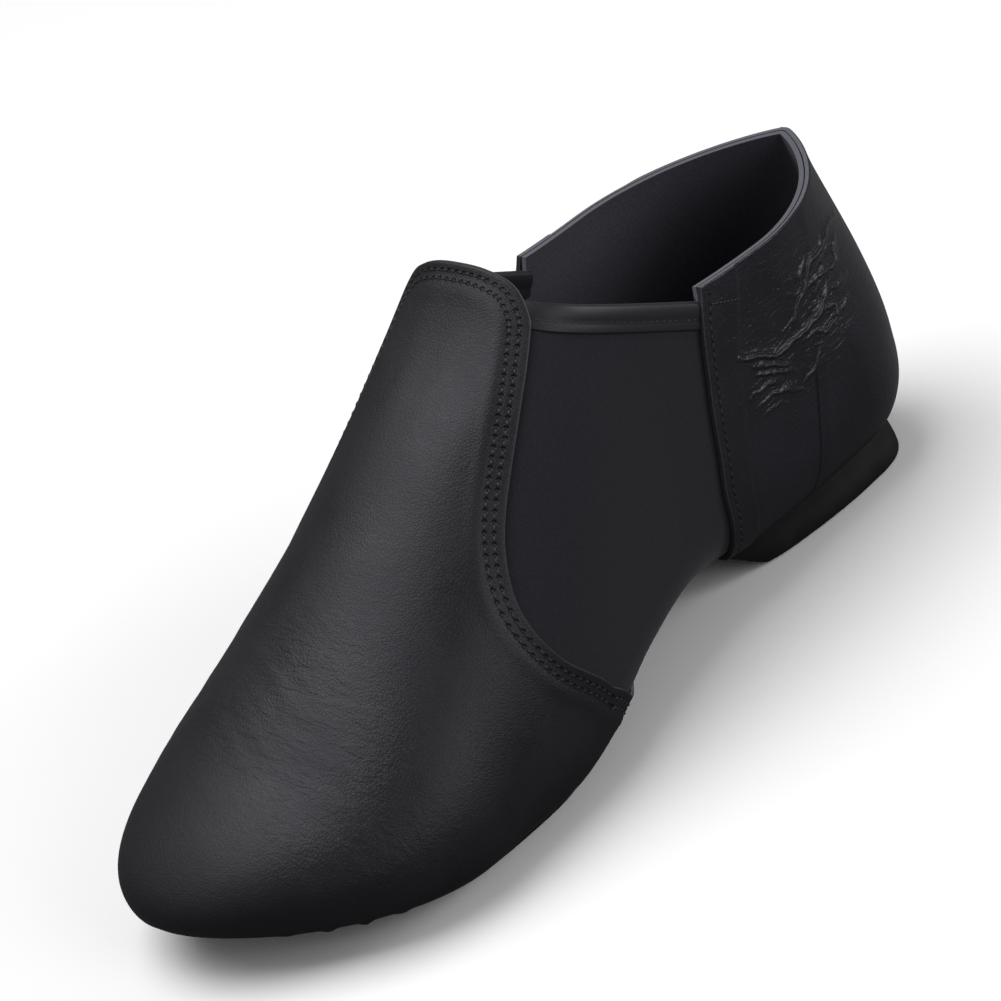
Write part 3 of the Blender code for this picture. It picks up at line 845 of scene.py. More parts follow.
@dataclass(frozen=True)
class LeatherFinish:
    """Dyed garment leather."""

    name: str
    colour: Triple = (0.0100, 0.0098, 0.0122)
    dark: Triple = (0.0060, 0.0060, 0.0076)
    # painted shade: the dark colour put into the needle holes and the stiffener line's groove
    recess_shade: Triple = (0.002, 0.002, 0.002)
    roughness: float = 0.46
    specular: float = 0.32
    tint: Triple = (0.93, 0.91, 1.0)
    coat: float = 0.04
    coat_roughness: float = 0.32
    clouds: float = 55.0
    grain: float = 1250.0
    grain_depth: float = 0.00006
    pores: float = 4200.0
    pore_depth: float = 0.00002
    wrinkle: Triple = (260, 520, 520)
    wrinkle_depth: float = 0.00013
    # the raw edge's pale colour; along the quarter's folded front edge it is a painted highlight
    edge_pale_and_highlight: Triple = (0.075, 0.077, 0.088)
    crumple: float = 0.0
    patch: CrumplePatch = CrumplePatch()
    folds: int = 0
    fold_depth: float = 0.00055
    # painted highlight: the pale colour mixed onto the fold crests and the strip's ridge
    ridge_highlight: Triple = (0.040, 0.040, 0.048)
    bend: BallBend | None = None
    seam: bool = False
    stitches: StitchRows | None = None

    def build(self) -> bpy.types.Material:
        """Makes the material.

        Returns:
            The material.
        """
        s = Shader(self.name)
        here = s.place()
        clouds = s.noise(here, self.clouds, 4)
        pebbles = s.cells(here, self.grain)
        colour = s.mix(s.span(clouds, 0.3, 0.7), self.dark, self.colour)
        colour = s.mix(s.span(pebbles, 0.0, 0.16, 0.35, 0.0), colour, self.dark)
        roughness = s.span(clouds, 0.25, 0.75, self.roughness - 0.05, self.roughness + 0.06)
        s.bump(s.noise(s.place(self.wrinkle, (0.15, 0.1, 0.4)), 1.0, 3, 0.6, 0.8), self.wrinkle_depth, 0.55)
        s.bump(s.span(pebbles, 0.0, 0.22), self.grain_depth, 0.5)
        s.bump(s.noise(here, self.pores, 2), self.pore_depth, 0.35)
        # painted shade on the toe, and its rougher finish
        if self.bend:
            colour, roughness = self._bend(s, self.bend, colour, roughness)
        if self.crumple:
            self._crumple(s)
        if self.folds:
            colour = self._folds(s, here, colour)
        if self.seam:
            line = self._seam(s)
            # painted shade: the stiffener's line is darkened along its groove
            colour = s.mix(s.math("MULTIPLY", line, 0.8), colour, self.recess_shade)
            s.bump(s.math("SUBTRACT", 1.0, line), 0.0007, 0.8)
        if self.stitches:
            # a pale band along the edge: the raw edge's colour carried onto the face, and on the quarter's
            # folded front edge a painted highlight
            colour = s.mix(s.span(s.edge_map()[1], 0.00008, 0.00032, 0.9, 0.0), colour, self.edge_pale_and_highlight)
            deep = s.holes(self.stitches)
            # painted shade: the needle holes are darkened
            colour = s.mix(deep, colour, self.recess_shade)
            s.bump(s.math("SUBTRACT", 1.0, deep), 0.0006, 0.9)
        return s.dress({
            "Base Color": colour,
            "Roughness": roughness,
            "Specular IOR Level": self.specular,
            "Specular Tint": (*self.tint, 1),
            "Coat Weight": self.coat,
            "Coat Roughness": self.coat_roughness,
        })

    def _crumple(self, s: Shader) -> None:
        """Fine crumples round the main folds, fading out towards the strip and the stiffener.

        Args:
            s: the material's builder.
        """
        patch = self.patch
        _, y, z = s.split(s.coords)
        y, z = s.math("SUBTRACT", y, patch.y), s.math("SUBTRACT", z, patch.z)
        long = s.math("ADD", s.math("MULTIPLY", y, patch.cosine), s.math("MULTIPLY", z, patch.sine))
        wide = s.math("SUBTRACT", s.math("MULTIPLY", z, patch.cosine), s.math("MULTIPLY", y, patch.sine))
        away = s.reach(s.math("DIVIDE", long, patch.length), s.math("DIVIDE", wide, patch.height))
        band = s.span(away, 0.45, 1.30, 1.0, patch.faintest)
        for scale, depth, stretch in ((170.0, 1.0, (1.0, 0.35, 1.7)), (330.0, 0.6, (1.0, 0.4, 1.5))):
            cloud = s.noise(s.place(stretch), scale, 1.0, 0.5, 0.9)
            crest = s.span(s.gap(cloud, 0.5), 0.0, 0.13, 1.0, 0.0)
            s.bump(s.math("MULTIPLY", crest, band), self.crumple * depth, 0.7)

    def _folds(self, s: Shader, here: Socket, colour: Socket) -> Socket:
        """Wavering crests, with finer ripples beside them, from the fold maps; the crests get a painted
        highlight, a paler colour.

        Args:
            s: the material's builder.
            here: the coordinates.
            colour: the colour so far.

        Returns:
            The colour with the painted highlight on the crests and the strip's ridge.
        """
        shake = s.math("MULTIPLY", s.math("SUBTRACT", s.noise(here, 300, 1), 0.5), 2.0)
        total: object = 0.0
        for k in range(self.folds):
            fold = s.node("ShaderNodeAttribute", attribute_name=f"fold_{k}").outputs["Vector"]
            across, depth, _ = s.split(fold)
            across = s.math("ADD", across, shake)
            crest = s.span(s.math("ABSOLUTE", across), 0.0, 0.90, 1.0, 0.0)
            ripple = s.math("MULTIPLY", s.math("COSINE", s.math("MULTIPLY", across, 3.9)), 0.20)
            total = s.math("MULTIPLY_ADD", s.math("ADD", crest, ripple), depth, total)
        total = s.math("ADD", total, self._strip(s))
        s.bump(total, self.fold_depth, 1.0)
        # painted highlight: the crests and the strip's ridge are mixed towards a pale colour
        return s.mix(s.span(total, 0.28, 0.80, 0.0, 0.75), colour, self.ridge_highlight)

    def _strip(self, s: Shader) -> Socket:
        """The low ridge down the rear edge of the folded strip, where it runs under the ankle.

        Args:
            s: the material's builder.

        Returns:
            The ridge's height, from 0 to 1.
        """
        _, _, z = s.split(s.coords)
        from_edge = s.math("MULTIPLY_ADD", z, -STRIP_LEAN, s.edge_map()[1])
        line = s.span(s.gap(from_edge, STRIP_WIDTH), 0.0, 0.0006, 0.75, 0.0)
        return s.math("MULTIPLY", line, s.span(z, 0.028, 0.050, 1.0, 0.25))

    def _bend(self, s: Shader, bend: BallBend, colour: Socket, roughness: Socket) -> tuple[Socket, Socket]:
        """Fine wrinkles where the ball bends, and the duller toe before it, whose colour gets painted shade
        towards the tip.

        Args:
            s: the material's builder.
            bend: where the leather bends.
            colour: the colour so far.
            roughness: the roughness so far.

        Returns:
            The colour and the roughness.
        """
        x, y, _ = s.split(s.coords)
        y = s.math("ADD", y, s.math("MULTIPLY", x, bend.lean))
        ahead = s.span(y, bend.start - 0.008, bend.start + 0.006)
        zone = s.math("MULTIPLY", ahead, s.span(y, bend.end - 0.010, bend.end + 0.020, 1.0, 0.0))
        lines = s.noise(s.place(bend.stretch, (0.0, 0.0, 0.25)), 1.0, 2.0, 0.6, 1.0)
        s.bump(s.math("MULTIPLY", lines, zone), bend.depth, 0.75)
        # painted shade: the colour darkens towards the toe tip
        shade = s.span(y, bend.start - 0.016, bend.start + 0.010, 0.50, 0.0)
        duller = s.math("MULTIPLY_ADD", shade, bend.toe_dullness, roughness)
        return s.mix(shade, colour, bend.toe_painted_shade), duller

    def _seam(self, s: Shader) -> Socket:
        """The line where the stiffener's front edge shows through, on both sides.

        Args:
            s: the material's builder.

        Returns:
            The line's strength, from 0 to 1.
        """
        _, y, z = s.split(s.coords)
        lean = s.math("MULTIPLY", s.math("SUBTRACT", STIFFENER_HEIGHT, z), STIFFENER_LEAN)
        line = s.span(s.gap(s.math("ADD", y, lean), -STIFFENER_FRONT), 0.0001, 0.0006, 1.0, 0.0)
        return s.math("MULTIPLY", line, s.span(z, 0.040, 0.046, 1.0, 0.0))


@dataclass(frozen=True)
class ClothFinish:
    """Knitted or woven cloth, with a nap."""

    name: str
    colour: Triple = (0.0175, 0.0170, 0.0212)
    fleck: Triple = (0.034, 0.034, 0.038)
    roughness: float = 0.95
    specular: float = 0.10
    sheen: float = 0.09
    thread: float = 1900.0
    depth: float = 0.00008
    flecks: float = 620.0
    waves: float = 150.0
    wave_depth: float = 0.0002
    light_thread: float = 1.35

    def build(self) -> bpy.types.Material:
        """Makes the material.

        Returns:
            The material.
        """
        s = Shader(self.name)
        here = s.place()
        knit = s.noise(s.place((1, 1, 1.7)), self.thread, 2)
        lighter = tuple(self.light_thread * c for c in self.colour)
        colour = s.mix(s.span(knit, 0.35, 0.75), self.colour, lighter)
        colour = s.mix(s.span(s.cells(here, self.flecks, "F1"), 0.04, 0.11, 0.5, 0.0), colour, self.fleck)
        s.bump(knit, self.depth, 0.5)
        s.bump(s.noise(here, self.waves, 3), self.wave_depth, 0.18)
        return s.dress({
            "Base Color": colour,
            "Roughness": self.roughness,
            "Specular IOR Level": self.specular,
            "Sheen Weight": self.sheen,
            "Sheen Roughness": 0.5,
        })


@dataclass(frozen=True)
class RubberFinish:
    """Moulded rubber, or a waxed thread."""

    name: str
    colour: Triple = (0.0048, 0.0048, 0.0056)
    dust: Triple = (0.0095, 0.0095, 0.0105)
    roughness: float = 0.58
    specular: float = 0.26
    grain: float = 2600.0
    depth: float = 0.00003
    clouds: float = 90.0

    def build(self) -> bpy.types.Material:
        """Makes the material.

        Returns:
            The material.
        """
        s = Shader(self.name)
        here = s.place()
        clouds = s.noise(here, self.clouds, 4)
        s.bump(s.noise(here, self.grain, 2), self.depth, 0.5)
        return s.dress({
            "Base Color": s.mix(s.span(clouds, 0.4, 0.75), self.colour, self.dust),
            "Roughness": s.span(clouds, 0.3, 0.7, self.roughness - 0.06, self.roughness + 0.06),
            "Specular IOR Level": self.specular,
        })


VAMP_STITCHES = StitchRows((0.0023, 0.0043), 0.0023, 0.00060)
QUARTER_STITCHES = StitchRows((0.0024,), 0.0022, 0.00050)
VAMP_LEATHER = LeatherFinish("vamp_leather", bend=BallBend(), stitches=VAMP_STITCHES)
QUARTER_LEATHER = LeatherFinish(
    "quarter_leather",
    colour=(0.0098, 0.0094, 0.0138),
    dark=(0.0064, 0.0062, 0.0092),
    roughness=0.33,
    specular=0.34,
    coat=0.12,
    coat_roughness=0.24,
    grain=1000.0,
    grain_depth=0.00007,
    wrinkle=(330, 380, 300),
    wrinkle_depth=0.00012,
    edge_pale_and_highlight=(0.045, 0.046, 0.055),
    crumple=0.00013,
    seam=True,
    stitches=QUARTER_STITCHES,
)
DYED_EDGE = ClothFinish(
    "dyed_edge", (0.020, 0.020, 0.025), (0.03, 0.03, 0.035), 0.8, 0.2, 0.05, thread=2600.0, depth=0.00006
)
CUT_EDGE = ClothFinish(
    "cut_edge", (0.088, 0.092, 0.106), (0.14, 0.14, 0.15), 0.9, 0.2, 0.1, thread=2600.0, depth=0.00006
)
SUEDE = ClothFinish("leather_back", (0.012, 0.012, 0.013), (0.03, 0.03, 0.03), sheen=0.2)
NEOPRENE = ClothFinish("neoprene")
LINING = ClothFinish(
    "lining", (0.0440, 0.0420, 0.0520), (0.022, 0.022, 0.026), 0.95, 0.08, 0.06, thread=1500.0, depth=0.00010
)
ELASTIC = ClothFinish(
    "elastic_tape", (0.0095, 0.0093, 0.0120), (0.014, 0.014, 0.016), 0.45, 0.34, 0.03, 2400.0, 0.00005
)
INSOLE_CLOTH = ClothFinish(
    "insole_cloth", (0.012, 0.012, 0.013), (0.03, 0.03, 0.03), sheen=0.1, thread=900.0, depth=0.00012
)
RUBBER = RubberFinish("rubber")
THREAD = RubberFinish("thread", (0.014, 0.014, 0.016), (0.024, 0.024, 0.027), 0.45, 0.40, 5000.0, 0.00006)


# Meshes


def shell_object(
    name: str,
    skin: Skin,
    outer: np.ndarray,
    inner: np.ndarray,
    finishes: Sequence[bpy.types.Material],
    edge_map: tuple[np.ndarray, np.ndarray, float] | None = None,
) -> bpy.types.Object:
    """A closed wall from a skin's outer and inner points.

    Args:
        name: the piece's name.
        skin: the surface whose faces both sides have.
        outer: the outer side's points.
        inner: the inner side's points.
        finishes: materials of the outer side, the inner side and the rim.
        edge_map: the run along the piece's edge and the distance from it at each point, and the
            whole run, for a map that the stitches follow.

    Returns:
        The object.
    """
    count = len(skin.co)
    back = [tuple(v + count for v in reversed(face)) for face in skin.faces]
    rim = [(end, start, start + count, end + count) for start, end in skin.rims]
    mesh = bpy.data.meshes.new(name)
    mesh.from_pydata(np.concatenate((outer, inner)).tolist(), [], skin.faces + back + rim)
    for finish in finishes:
        mesh.materials.append(finish)
    slots = np.repeat((0, 1, 2), (len(skin.faces), len(back), len(rim))).astype(np.int32)
    mesh.polygons.foreach_set("material_index", slots)
    mesh.shade_smooth()
    mesh.set_sharp_from_angle(angle=math.radians(55))
    if edge_map:
        run, distance, total = edge_map
        index = np.empty(len(mesh.loops), np.int32)
        mesh.loops.foreach_get("vertex_index", index)
        starts = np.empty(len(mesh.polygons), np.int32)
        mesh.polygons.foreach_get("loop_start", starts)
        sizes = np.diff(np.append(starts, len(index)))
        u, v = run[index % count], distance[index % count]
        far = np.repeat(np.maximum.reduceat(u, starts), sizes) - u > total / 2
        layer = mesh.uv_layers.new(name="edge")
        layer.data.foreach_set("uv", np.stack((u + far * total, v), axis=-1).ravel().astype(np.float32))
    return add_piece(name, mesh)


def add_piece(name: str, mesh: bpy.types.Mesh) -> bpy.types.Object:
    """Puts a mesh in the scene at the origin.

    Args:
        name: the piece's name.
        mesh: its mesh.

    Returns:
        The object.
    """
    made = bpy.data.objects.new(name, mesh)
    bpy.context.scene.collection.objects.link(made)
    return made


def bridge(bm: bmesh.types.BMesh, rings: Sequence[np.ndarray]) -> list[list[bmesh.types.BMVert]]:
    """Adds rings of as many points each to a mesh, with faces between them.

    Args:
        bm: the mesh.
        rings: the rings, in order over the surface.

    Returns:
        The points of each ring.
    """
    verts = [[bm.verts.new(p) for p in ring] for ring in rings]
    count = len(verts[0])
    for a, b in zip(verts, verts[1:]):
        for k in range(count):
            bm.faces.new((a[k], a[(k + 1) % count], b[(k + 1) % count], b[k]))
    return verts


def solid_piece(
    name: str, bm: bmesh.types.BMesh, finish: bpy.types.Material, sharp: float
) -> bpy.types.Object:
    """Makes a smooth piece of one material from a mesh under construction, which it frees.

    Args:
        name: the piece's name.
        bm: the mesh.
        finish: the material.
        sharp: the angle in degrees over which an edge stays sharp.

    Returns:
        The piece.
    """
    mesh = bpy.data.meshes.new(name)
    bm.to_mesh(mesh)
    bm.free()
    mesh.shade_smooth()
    mesh.set_sharp_from_angle(angle=math.radians(sharp))
    mesh.materials.append(finish)
    return add_piece(name, mesh)


def ring_solid(
    name: str, rings: Sequence[np.ndarray], finish: bpy.types.Material, closed: bool = True
) -> bpy.types.Object:
    """A solid, or an open patch, through rings of as many points each.

    Args:
        name: the piece's name.
        rings: the rings, in order over the surface.
        finish: the material.
        closed: whether the first ring is capped too. The last always is.

    Returns:
        The object.
    """
    bm = bmesh.new()
    verts = bridge(bm, rings)
    bmesh.ops.contextual_create(bm, geom=verts[-1])
    if closed:
        bmesh.ops.contextual_create(bm, geom=verts[0])
    bmesh.ops.remove_doubles(bm, verts=bm.verts, dist=WELD)
    bmesh.ops.recalc_face_normals(bm, faces=bm.faces)
    bmesh.ops.triangulate(bm, faces=[f for f in bm.faces if len(f.verts) > 4])
    return solid_piece(name, bm, finish, 48)


def finish_piece(piece: bpy.types.Object, slot: str, *nodes: str) -> bpy.types.Object:
    """Makes a piece ride on the shoe and hides the nodes that it stands for.

    Args:
        piece: the piece.
        slot: its material slot; not used.
        *nodes: the solids that it stands for.

    Returns:
        The piece.
    """
    if nodes:
        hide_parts(*nodes)
    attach(piece, BODY)
    LOG.info("%s: %d faces", piece.name, len(piece.data.polygons))
    return piece


def store_vectors(mesh: bpy.types.Mesh, name: str, values: np.ndarray) -> None:
    """Keeps a vector for each point of a mesh under a name.

    Args:
        mesh: the mesh.
        name: the name.
        values: a vector for each point.
    """
    layer = mesh.attributes.new(name, "FLOAT_VECTOR", "POINT")
    layer.data.foreach_set("vector", values.ravel().astype(np.float32))


def edge_roll(distance: np.ndarray, radius: float) -> np.ndarray:
    """How far a sheet's face turns down towards its edge."""
    t = np.clip(1 - distance / radius, 0, 1)
    return radius * (1 - np.sqrt(1 - t * t))


# Repeats by Geometry Nodes


class Repeater(Nodes):
    """Builds one geometry tree with named inputs and applies it to points or a surface."""

    def __init__(self, name: str, inputs: dict[str, str]) -> None:
        """Starts a tree.

        Args:
            name: the tree's name.
            inputs: the kind of socket for each named input.
        """
        super().__init__(bpy.data.node_groups.new(name, "GeometryNodeTree"))
        face = self.tree.interface
        face.new_socket(name="Geometry", in_out="INPUT", socket_type="NodeSocketGeometry")
        face.new_socket(name="Geometry", in_out="OUTPUT", socket_type="NodeSocketGeometry")
        self.keys = {
            key: face.new_socket(name=key, in_out="INPUT", socket_type=kind).identifier
            for key, kind in inputs.items()
        }
        self.source, self.target = self.node("NodeGroupInput"), self.node("NodeGroupOutput")

    def value(self, name: str) -> Socket:
        """One of the tree's named inputs."""
        return self.source.outputs[name]

    def vector(self, *parts: object) -> Socket:
        """A vector from three numbers or sockets."""
        return self.node("ShaderNodeCombineXYZ", dict(zip("XYZ", parts))).outputs[0]

    def finish(self, geometry: Socket) -> None:
        """Ends the tree with real meshes in one material.

        Args:
            geometry: what the tree has made.
        """
        real = self.node("GeometryNodeRealizeInstances", {"Geometry": geometry})
        dressed = self.node(
            "GeometryNodeSetMaterial", {"Geometry": real.outputs[0], "Material": self.value("Material")}
        )
        self.link(dressed.outputs[0], self.target.inputs[0])

    def apply(self, name: str, mesh: bpy.types.Mesh, values: dict[str, object]) -> bpy.types.Object:
        """Runs the tree on a mesh and keeps the result as a plain mesh.

        Args:
            name: the new piece's name.
            mesh: the points or the surface.
            values: a value for each named input.

        Returns:
            The new piece.
        """
        carrier = add_piece(f"{name}_carrier", mesh)
        modifier = carrier.modifiers.new(name, "NODES")
        modifier.node_group = self.tree
        for key, value in values.items():
            modifier[self.keys[key]] = value
        graph = bpy.context.evaluated_depsgraph_get()
        result = bpy.data.meshes.new_from_object(carrier.evaluated_get(graph))
        carrier.modifiers.remove(modifier)
        bpy.data.objects.remove(carrier)
        result.name = name
        result.shade_smooth()
        result.set_sharp_from_angle(angle=math.radians(40))
        return add_piece(name, result)


def stitch_tree() -> Repeater:
    """Short threads, one at each point, laid along "way" and sunk against "out".

    Returns:
        The tree.
    """
    made = Repeater(
        "stitches",
        {
            "Length": "NodeSocketFloat",
            "Thickness": "NodeSocketFloat",
            "Sink": "NodeSocketFloat",
            "Material": "NodeSocketMaterial",
        },
    )
    ball = made.node("GeometryNodeMeshUVSphere", {"Segments": 8, "Rings": 6, "Radius": 0.5})
    size = made.vector(made.value("Length"), made.value("Thickness"), made.value("Thickness"))
    drop = made.vector(0.0, 0.0, made.math("MULTIPLY", made.value("Sink"), -1.0))
    thread = made.node(
        "GeometryNodeTransform", {"Geometry": ball.outputs[0], "Translation": drop, "Scale": size}
    )
    way = made.node("GeometryNodeInputNamedAttribute", {"Name": "way"}, data_type="FLOAT_VECTOR")
    out = made.node("GeometryNodeInputNamedAttribute", {"Name": "out"}, data_type="FLOAT_VECTOR")
    first = made.node("FunctionNodeAlignRotationToVector", {"Vector": way.outputs[0]}, axis="X")
    second = made.node(
        "FunctionNodeAlignRotationToVector",
        {"Rotation": first.outputs[0], "Vector": out.outputs[0]},
        axis="Z",
        pivot_axis="X",
    )
    laid = made.node(
        "GeometryNodeInstanceOnPoints",
        {"Points": made.value("Geometry"), "Instance": thread.outputs[0], "Rotation": second.outputs[0]},
    )
    made.finish(laid.outputs[0])
    return made


def tread_tree(cells: int) -> Repeater:
    """Small pyramids in a diamond lattice, hanging from a surface that faces down.

    Args:
        cells: how many cells the lattice has along a side.

    Returns:
        The tree.
    """
    made = Repeater(
        "tread",
        {
            "Pitch": "NodeSocketFloat",
            "Height": "NodeSocketFloat",
            "Centre": "NodeSocketVector",
            "Count": "NodeSocketInt",
            "Material": "NodeSocketMaterial",
        },
    )
    across = made.math("MULTIPLY", made.value("Pitch"), cells)
    count = made.value("Count")
    lattice = made.node(
        "GeometryNodeMeshGrid", {"Size X": across, "Size Y": across, "Vertices X": count, "Vertices Y": count}
    )
    diamond = (0.0, 0.0, math.pi / 4)
    turned = made.node(
        "GeometryNodeTransform",
        {"Geometry": lattice.outputs[0], "Translation": made.value("Centre"), "Rotation": diamond},
    )
    hit = made.node(
        "GeometryNodeRaycast",
        {"Target Geometry": made.value("Geometry"), "Ray Direction": (0.0, 0.0, 1.0), "Ray Length": 0.2},
    )
    found, spot, normal = hit.outputs["Is Hit"], hit.outputs["Hit Position"], hit.outputs["Hit Normal"]
    missed = made.node("FunctionNodeBooleanMath", {0: found}, operation="NOT")
    flip = made.math("MULTIPLY", made.math("SIGN", made.split(normal)[2]), -1.0)
    downward = made.node("ShaderNodeVectorMath", {"Vector": normal, "Scale": flip}, operation="SCALE")
    stored = made.node(
        "GeometryNodeStoreNamedAttribute",
        {"Geometry": turned.outputs[0], "Name": "out", "Value": downward.outputs[0]},
        data_type="FLOAT_VECTOR",
        domain="POINT",
    )
    culled = made.node(
        "GeometryNodeDeleteGeometry",
        {"Geometry": stored.outputs[0], "Selection": missed.outputs[0]},
        domain="POINT",
    )
    moved = made.node(
        "GeometryNodeSetPosition", {"Geometry": culled.outputs[0], "Selection": found, "Position": spot}
    )
    spike = made.node(
        "GeometryNodeMeshCone",
        {
            "Vertices": 4,
            "Radius Top": made.math("MULTIPLY", made.value("Pitch"), 0.06),
            "Radius Bottom": made.math("MULTIPLY", made.value("Pitch"), 0.66),
            "Depth": made.value("Height"),
        },
        fill_type="NGON",
    )
    out = made.node("GeometryNodeInputNamedAttribute", {"Name": "out"}, data_type="FLOAT_VECTOR")
    aligned = made.node("FunctionNodeAlignRotationToVector", {"Vector": out.outputs[0]}, axis="Z")
    laid = made.node(
        "GeometryNodeInstanceOnPoints",
        {"Points": moved.outputs[0], "Instance": spike.outputs[0], "Rotation": aligned.outputs[0]},
    )
    made.finish(laid.outputs[0])
    return made


@dataclass
class Threads:
    """Small threads that lie on a piece."""

    name: str
    length: float = 0.0014
    thickness: float = 0.00062
    sink: float = 0.00002

    def build(
        self, laid: tuple[np.ndarray, ...], tree: Repeater, finish: bpy.types.Material
    ) -> bpy.types.Object:
        """Lays the threads.

        Args:
            laid: the points, the way each thread runs and the way out.
            tree: the stitches' tree.
            finish: the thread's material.

        Returns:
            The threads as one piece.
        """
        spots, ways, outs = laid
        mesh = bpy.data.meshes.new(self.name)
        mesh.from_pydata(spots.tolist(), [], [])
        store_vectors(mesh, "way", ways)
        store_vectors(mesh, "out", outs)
        sizes = {"Length": self.length, "Thickness": self.thickness, "Sink": self.sink, "Material": finish}
        return tree.apply(self.name, mesh, sizes)


def stitch_places(rows: StitchRows, start: float, end: float) -> list[tuple[float, float]]:
    """Run and distance of each thread between two runs, a thread between each two holes."""
    first, final = math.ceil(start / rows.pitch), math.floor(end / rows.pitch)
    return [(k * rows.pitch, d) for d in rows.distances for k in range(first, final + 1)]


# Pieces


@dataclass(frozen=True)
class Crease:
    """One fold of the leather, by points along it: Y and Z in millimetres, on one side.

    The depth is a share, with 1 for the deepest fold. The swell's half width is in millimetres.
    """

    points: tuple[tuple[float, float], ...]
    depth: float
    side: Side = Side.LATERAL
    margin: float = 0.006
    half_width: float = 1.05
    rise: float = 0.70

    def line(self) -> np.ndarray:
        """Close points along the crease.

        Returns:
            The points' Y and Z in metres.
        """
        places = np.arange(len(self.points))
        fine = np.linspace(0, len(self.points) - 1, 24 * (len(self.points) - 1) + 1)
        columns = [smooth_curve(fine, places, [p[k] for p in self.points]) for k in (0, 1)]
        return np.stack(columns, axis=-1) * MM

    def trace(self, co: np.ndarray, row: np.ndarray) -> tuple[np.ndarray, ...]:
        """Where points lie beside the fold.

        Args:
            co: the points.
            row: their rows on the last.

        Returns:
            Which points are near, and for those the gap, the distance across (both in millimetres)
            and the fold's strength from 0 to 1.
        """
        line = self.line()
        near = (co[:, 0] * self.side.value > 0) & (row > 1.2)
        low, high = line.min(axis=0) - self.margin, line.max(axis=0) + self.margin
        near &= ((co[:, 1:] > low) & (co[:, 1:] < high)).all(axis=1)
        spots = co[near][:, 1:]
        gaps = np.linalg.norm(spots[:, None, :] - line[None, :, :], axis=2)
        k = gaps.argmin(axis=1)
        way = np.gradient(line, axis=0)[k]
        way /= np.maximum(np.linalg.norm(way, axis=1, keepdims=True), 1e-9)
        apart = (spots - line[k]) / MM
        across = apart[:, 0] * way[:, 1] - apart[:, 1] * way[:, 0]
        beyond = apart[:, 0] * way[:, 0] + apart[:, 1] * way[:, 1]
        strength = np.sin(np.clip(k / (len(line) - 1), 0, 1) * math.pi) ** 0.6 * np.exp(-(beyond**2))
        return near, gaps.min(axis=1) / MM, across, strength

    def swell(self, co: np.ndarray, row: np.ndarray) -> np.ndarray:
        """How far the leather itself rises along the fold.

        Args:
            co: the points.
            row: their rows on the last.

        Returns:
            The rise at each point.
        """
        found = np.zeros(len(co))
        near, _, across, strength = self.trace(co, row)
        found[near] = self.rise * self.depth * MM * strength * np.exp(-((across / self.half_width) ** 2))
        return found


FOLDS_APART = 0.0040  # folds nearer than this go into different maps


def fold_maps(creases: Iterable[Crease], co: np.ndarray, row: np.ndarray) -> list[np.ndarray]:
    """Maps from which the shader draws the folds' sharp crests.

    Folds that lie close together go into different maps, so that neither cuts the other off.

    Args:
        creases: the folds.
        co: the points of the leather.
        row: their rows on the last.

    Returns:
        For each map, a row for each point: the distance across in millimetres, the depth and a zero.
    """
    lines: list[list[Crease]] = []
    maps: list[np.ndarray] = []
    reach: list[np.ndarray] = []
    for crease in creases:
        own = crease.line()
        for k, others in enumerate(lines):
            same = [o.line() for o in others if o.side is crease.side]
            if all(np.linalg.norm(own[:, None] - o[None], axis=2).min() > FOLDS_APART for o in same):
                break
        else:
            k = len(lines)
            lines.append([])
            maps.append(np.zeros((len(co), 3)))
            reach.append(np.full(len(co), 9.0))
        lines[k].append(crease)
        near, gap, across, strength = crease.trace(co, row)
        closer = gap < reach[k][near]
        spots = np.flatnonzero(near)[closer]
        reach[k][spots] = gap[closer]
        depth = crease.depth * strength * (1 - smoothstep(np.abs(across), 1.2, 1.8))
        maps[k][spots, 0] = across[closer]
        maps[k][spots, 1] = depth[closer]
    return maps


def mirrored(creases: Iterable[Crease], shift: float, share: float) -> list[Crease]:
    """The same kind of folds on the medial side, a little moved and weaker.

    Args:
        creases: the lateral folds.
        shift: how far they move, in millimetres.
        share: their strength beside the lateral ones'.

    Returns:
        The medial folds.
    """
    return [
        Crease(tuple((y - shift, z + 0.6 * shift) for y, z in c.points), c.depth * share, Side.MEDIAL)
        for c in creases
    ]


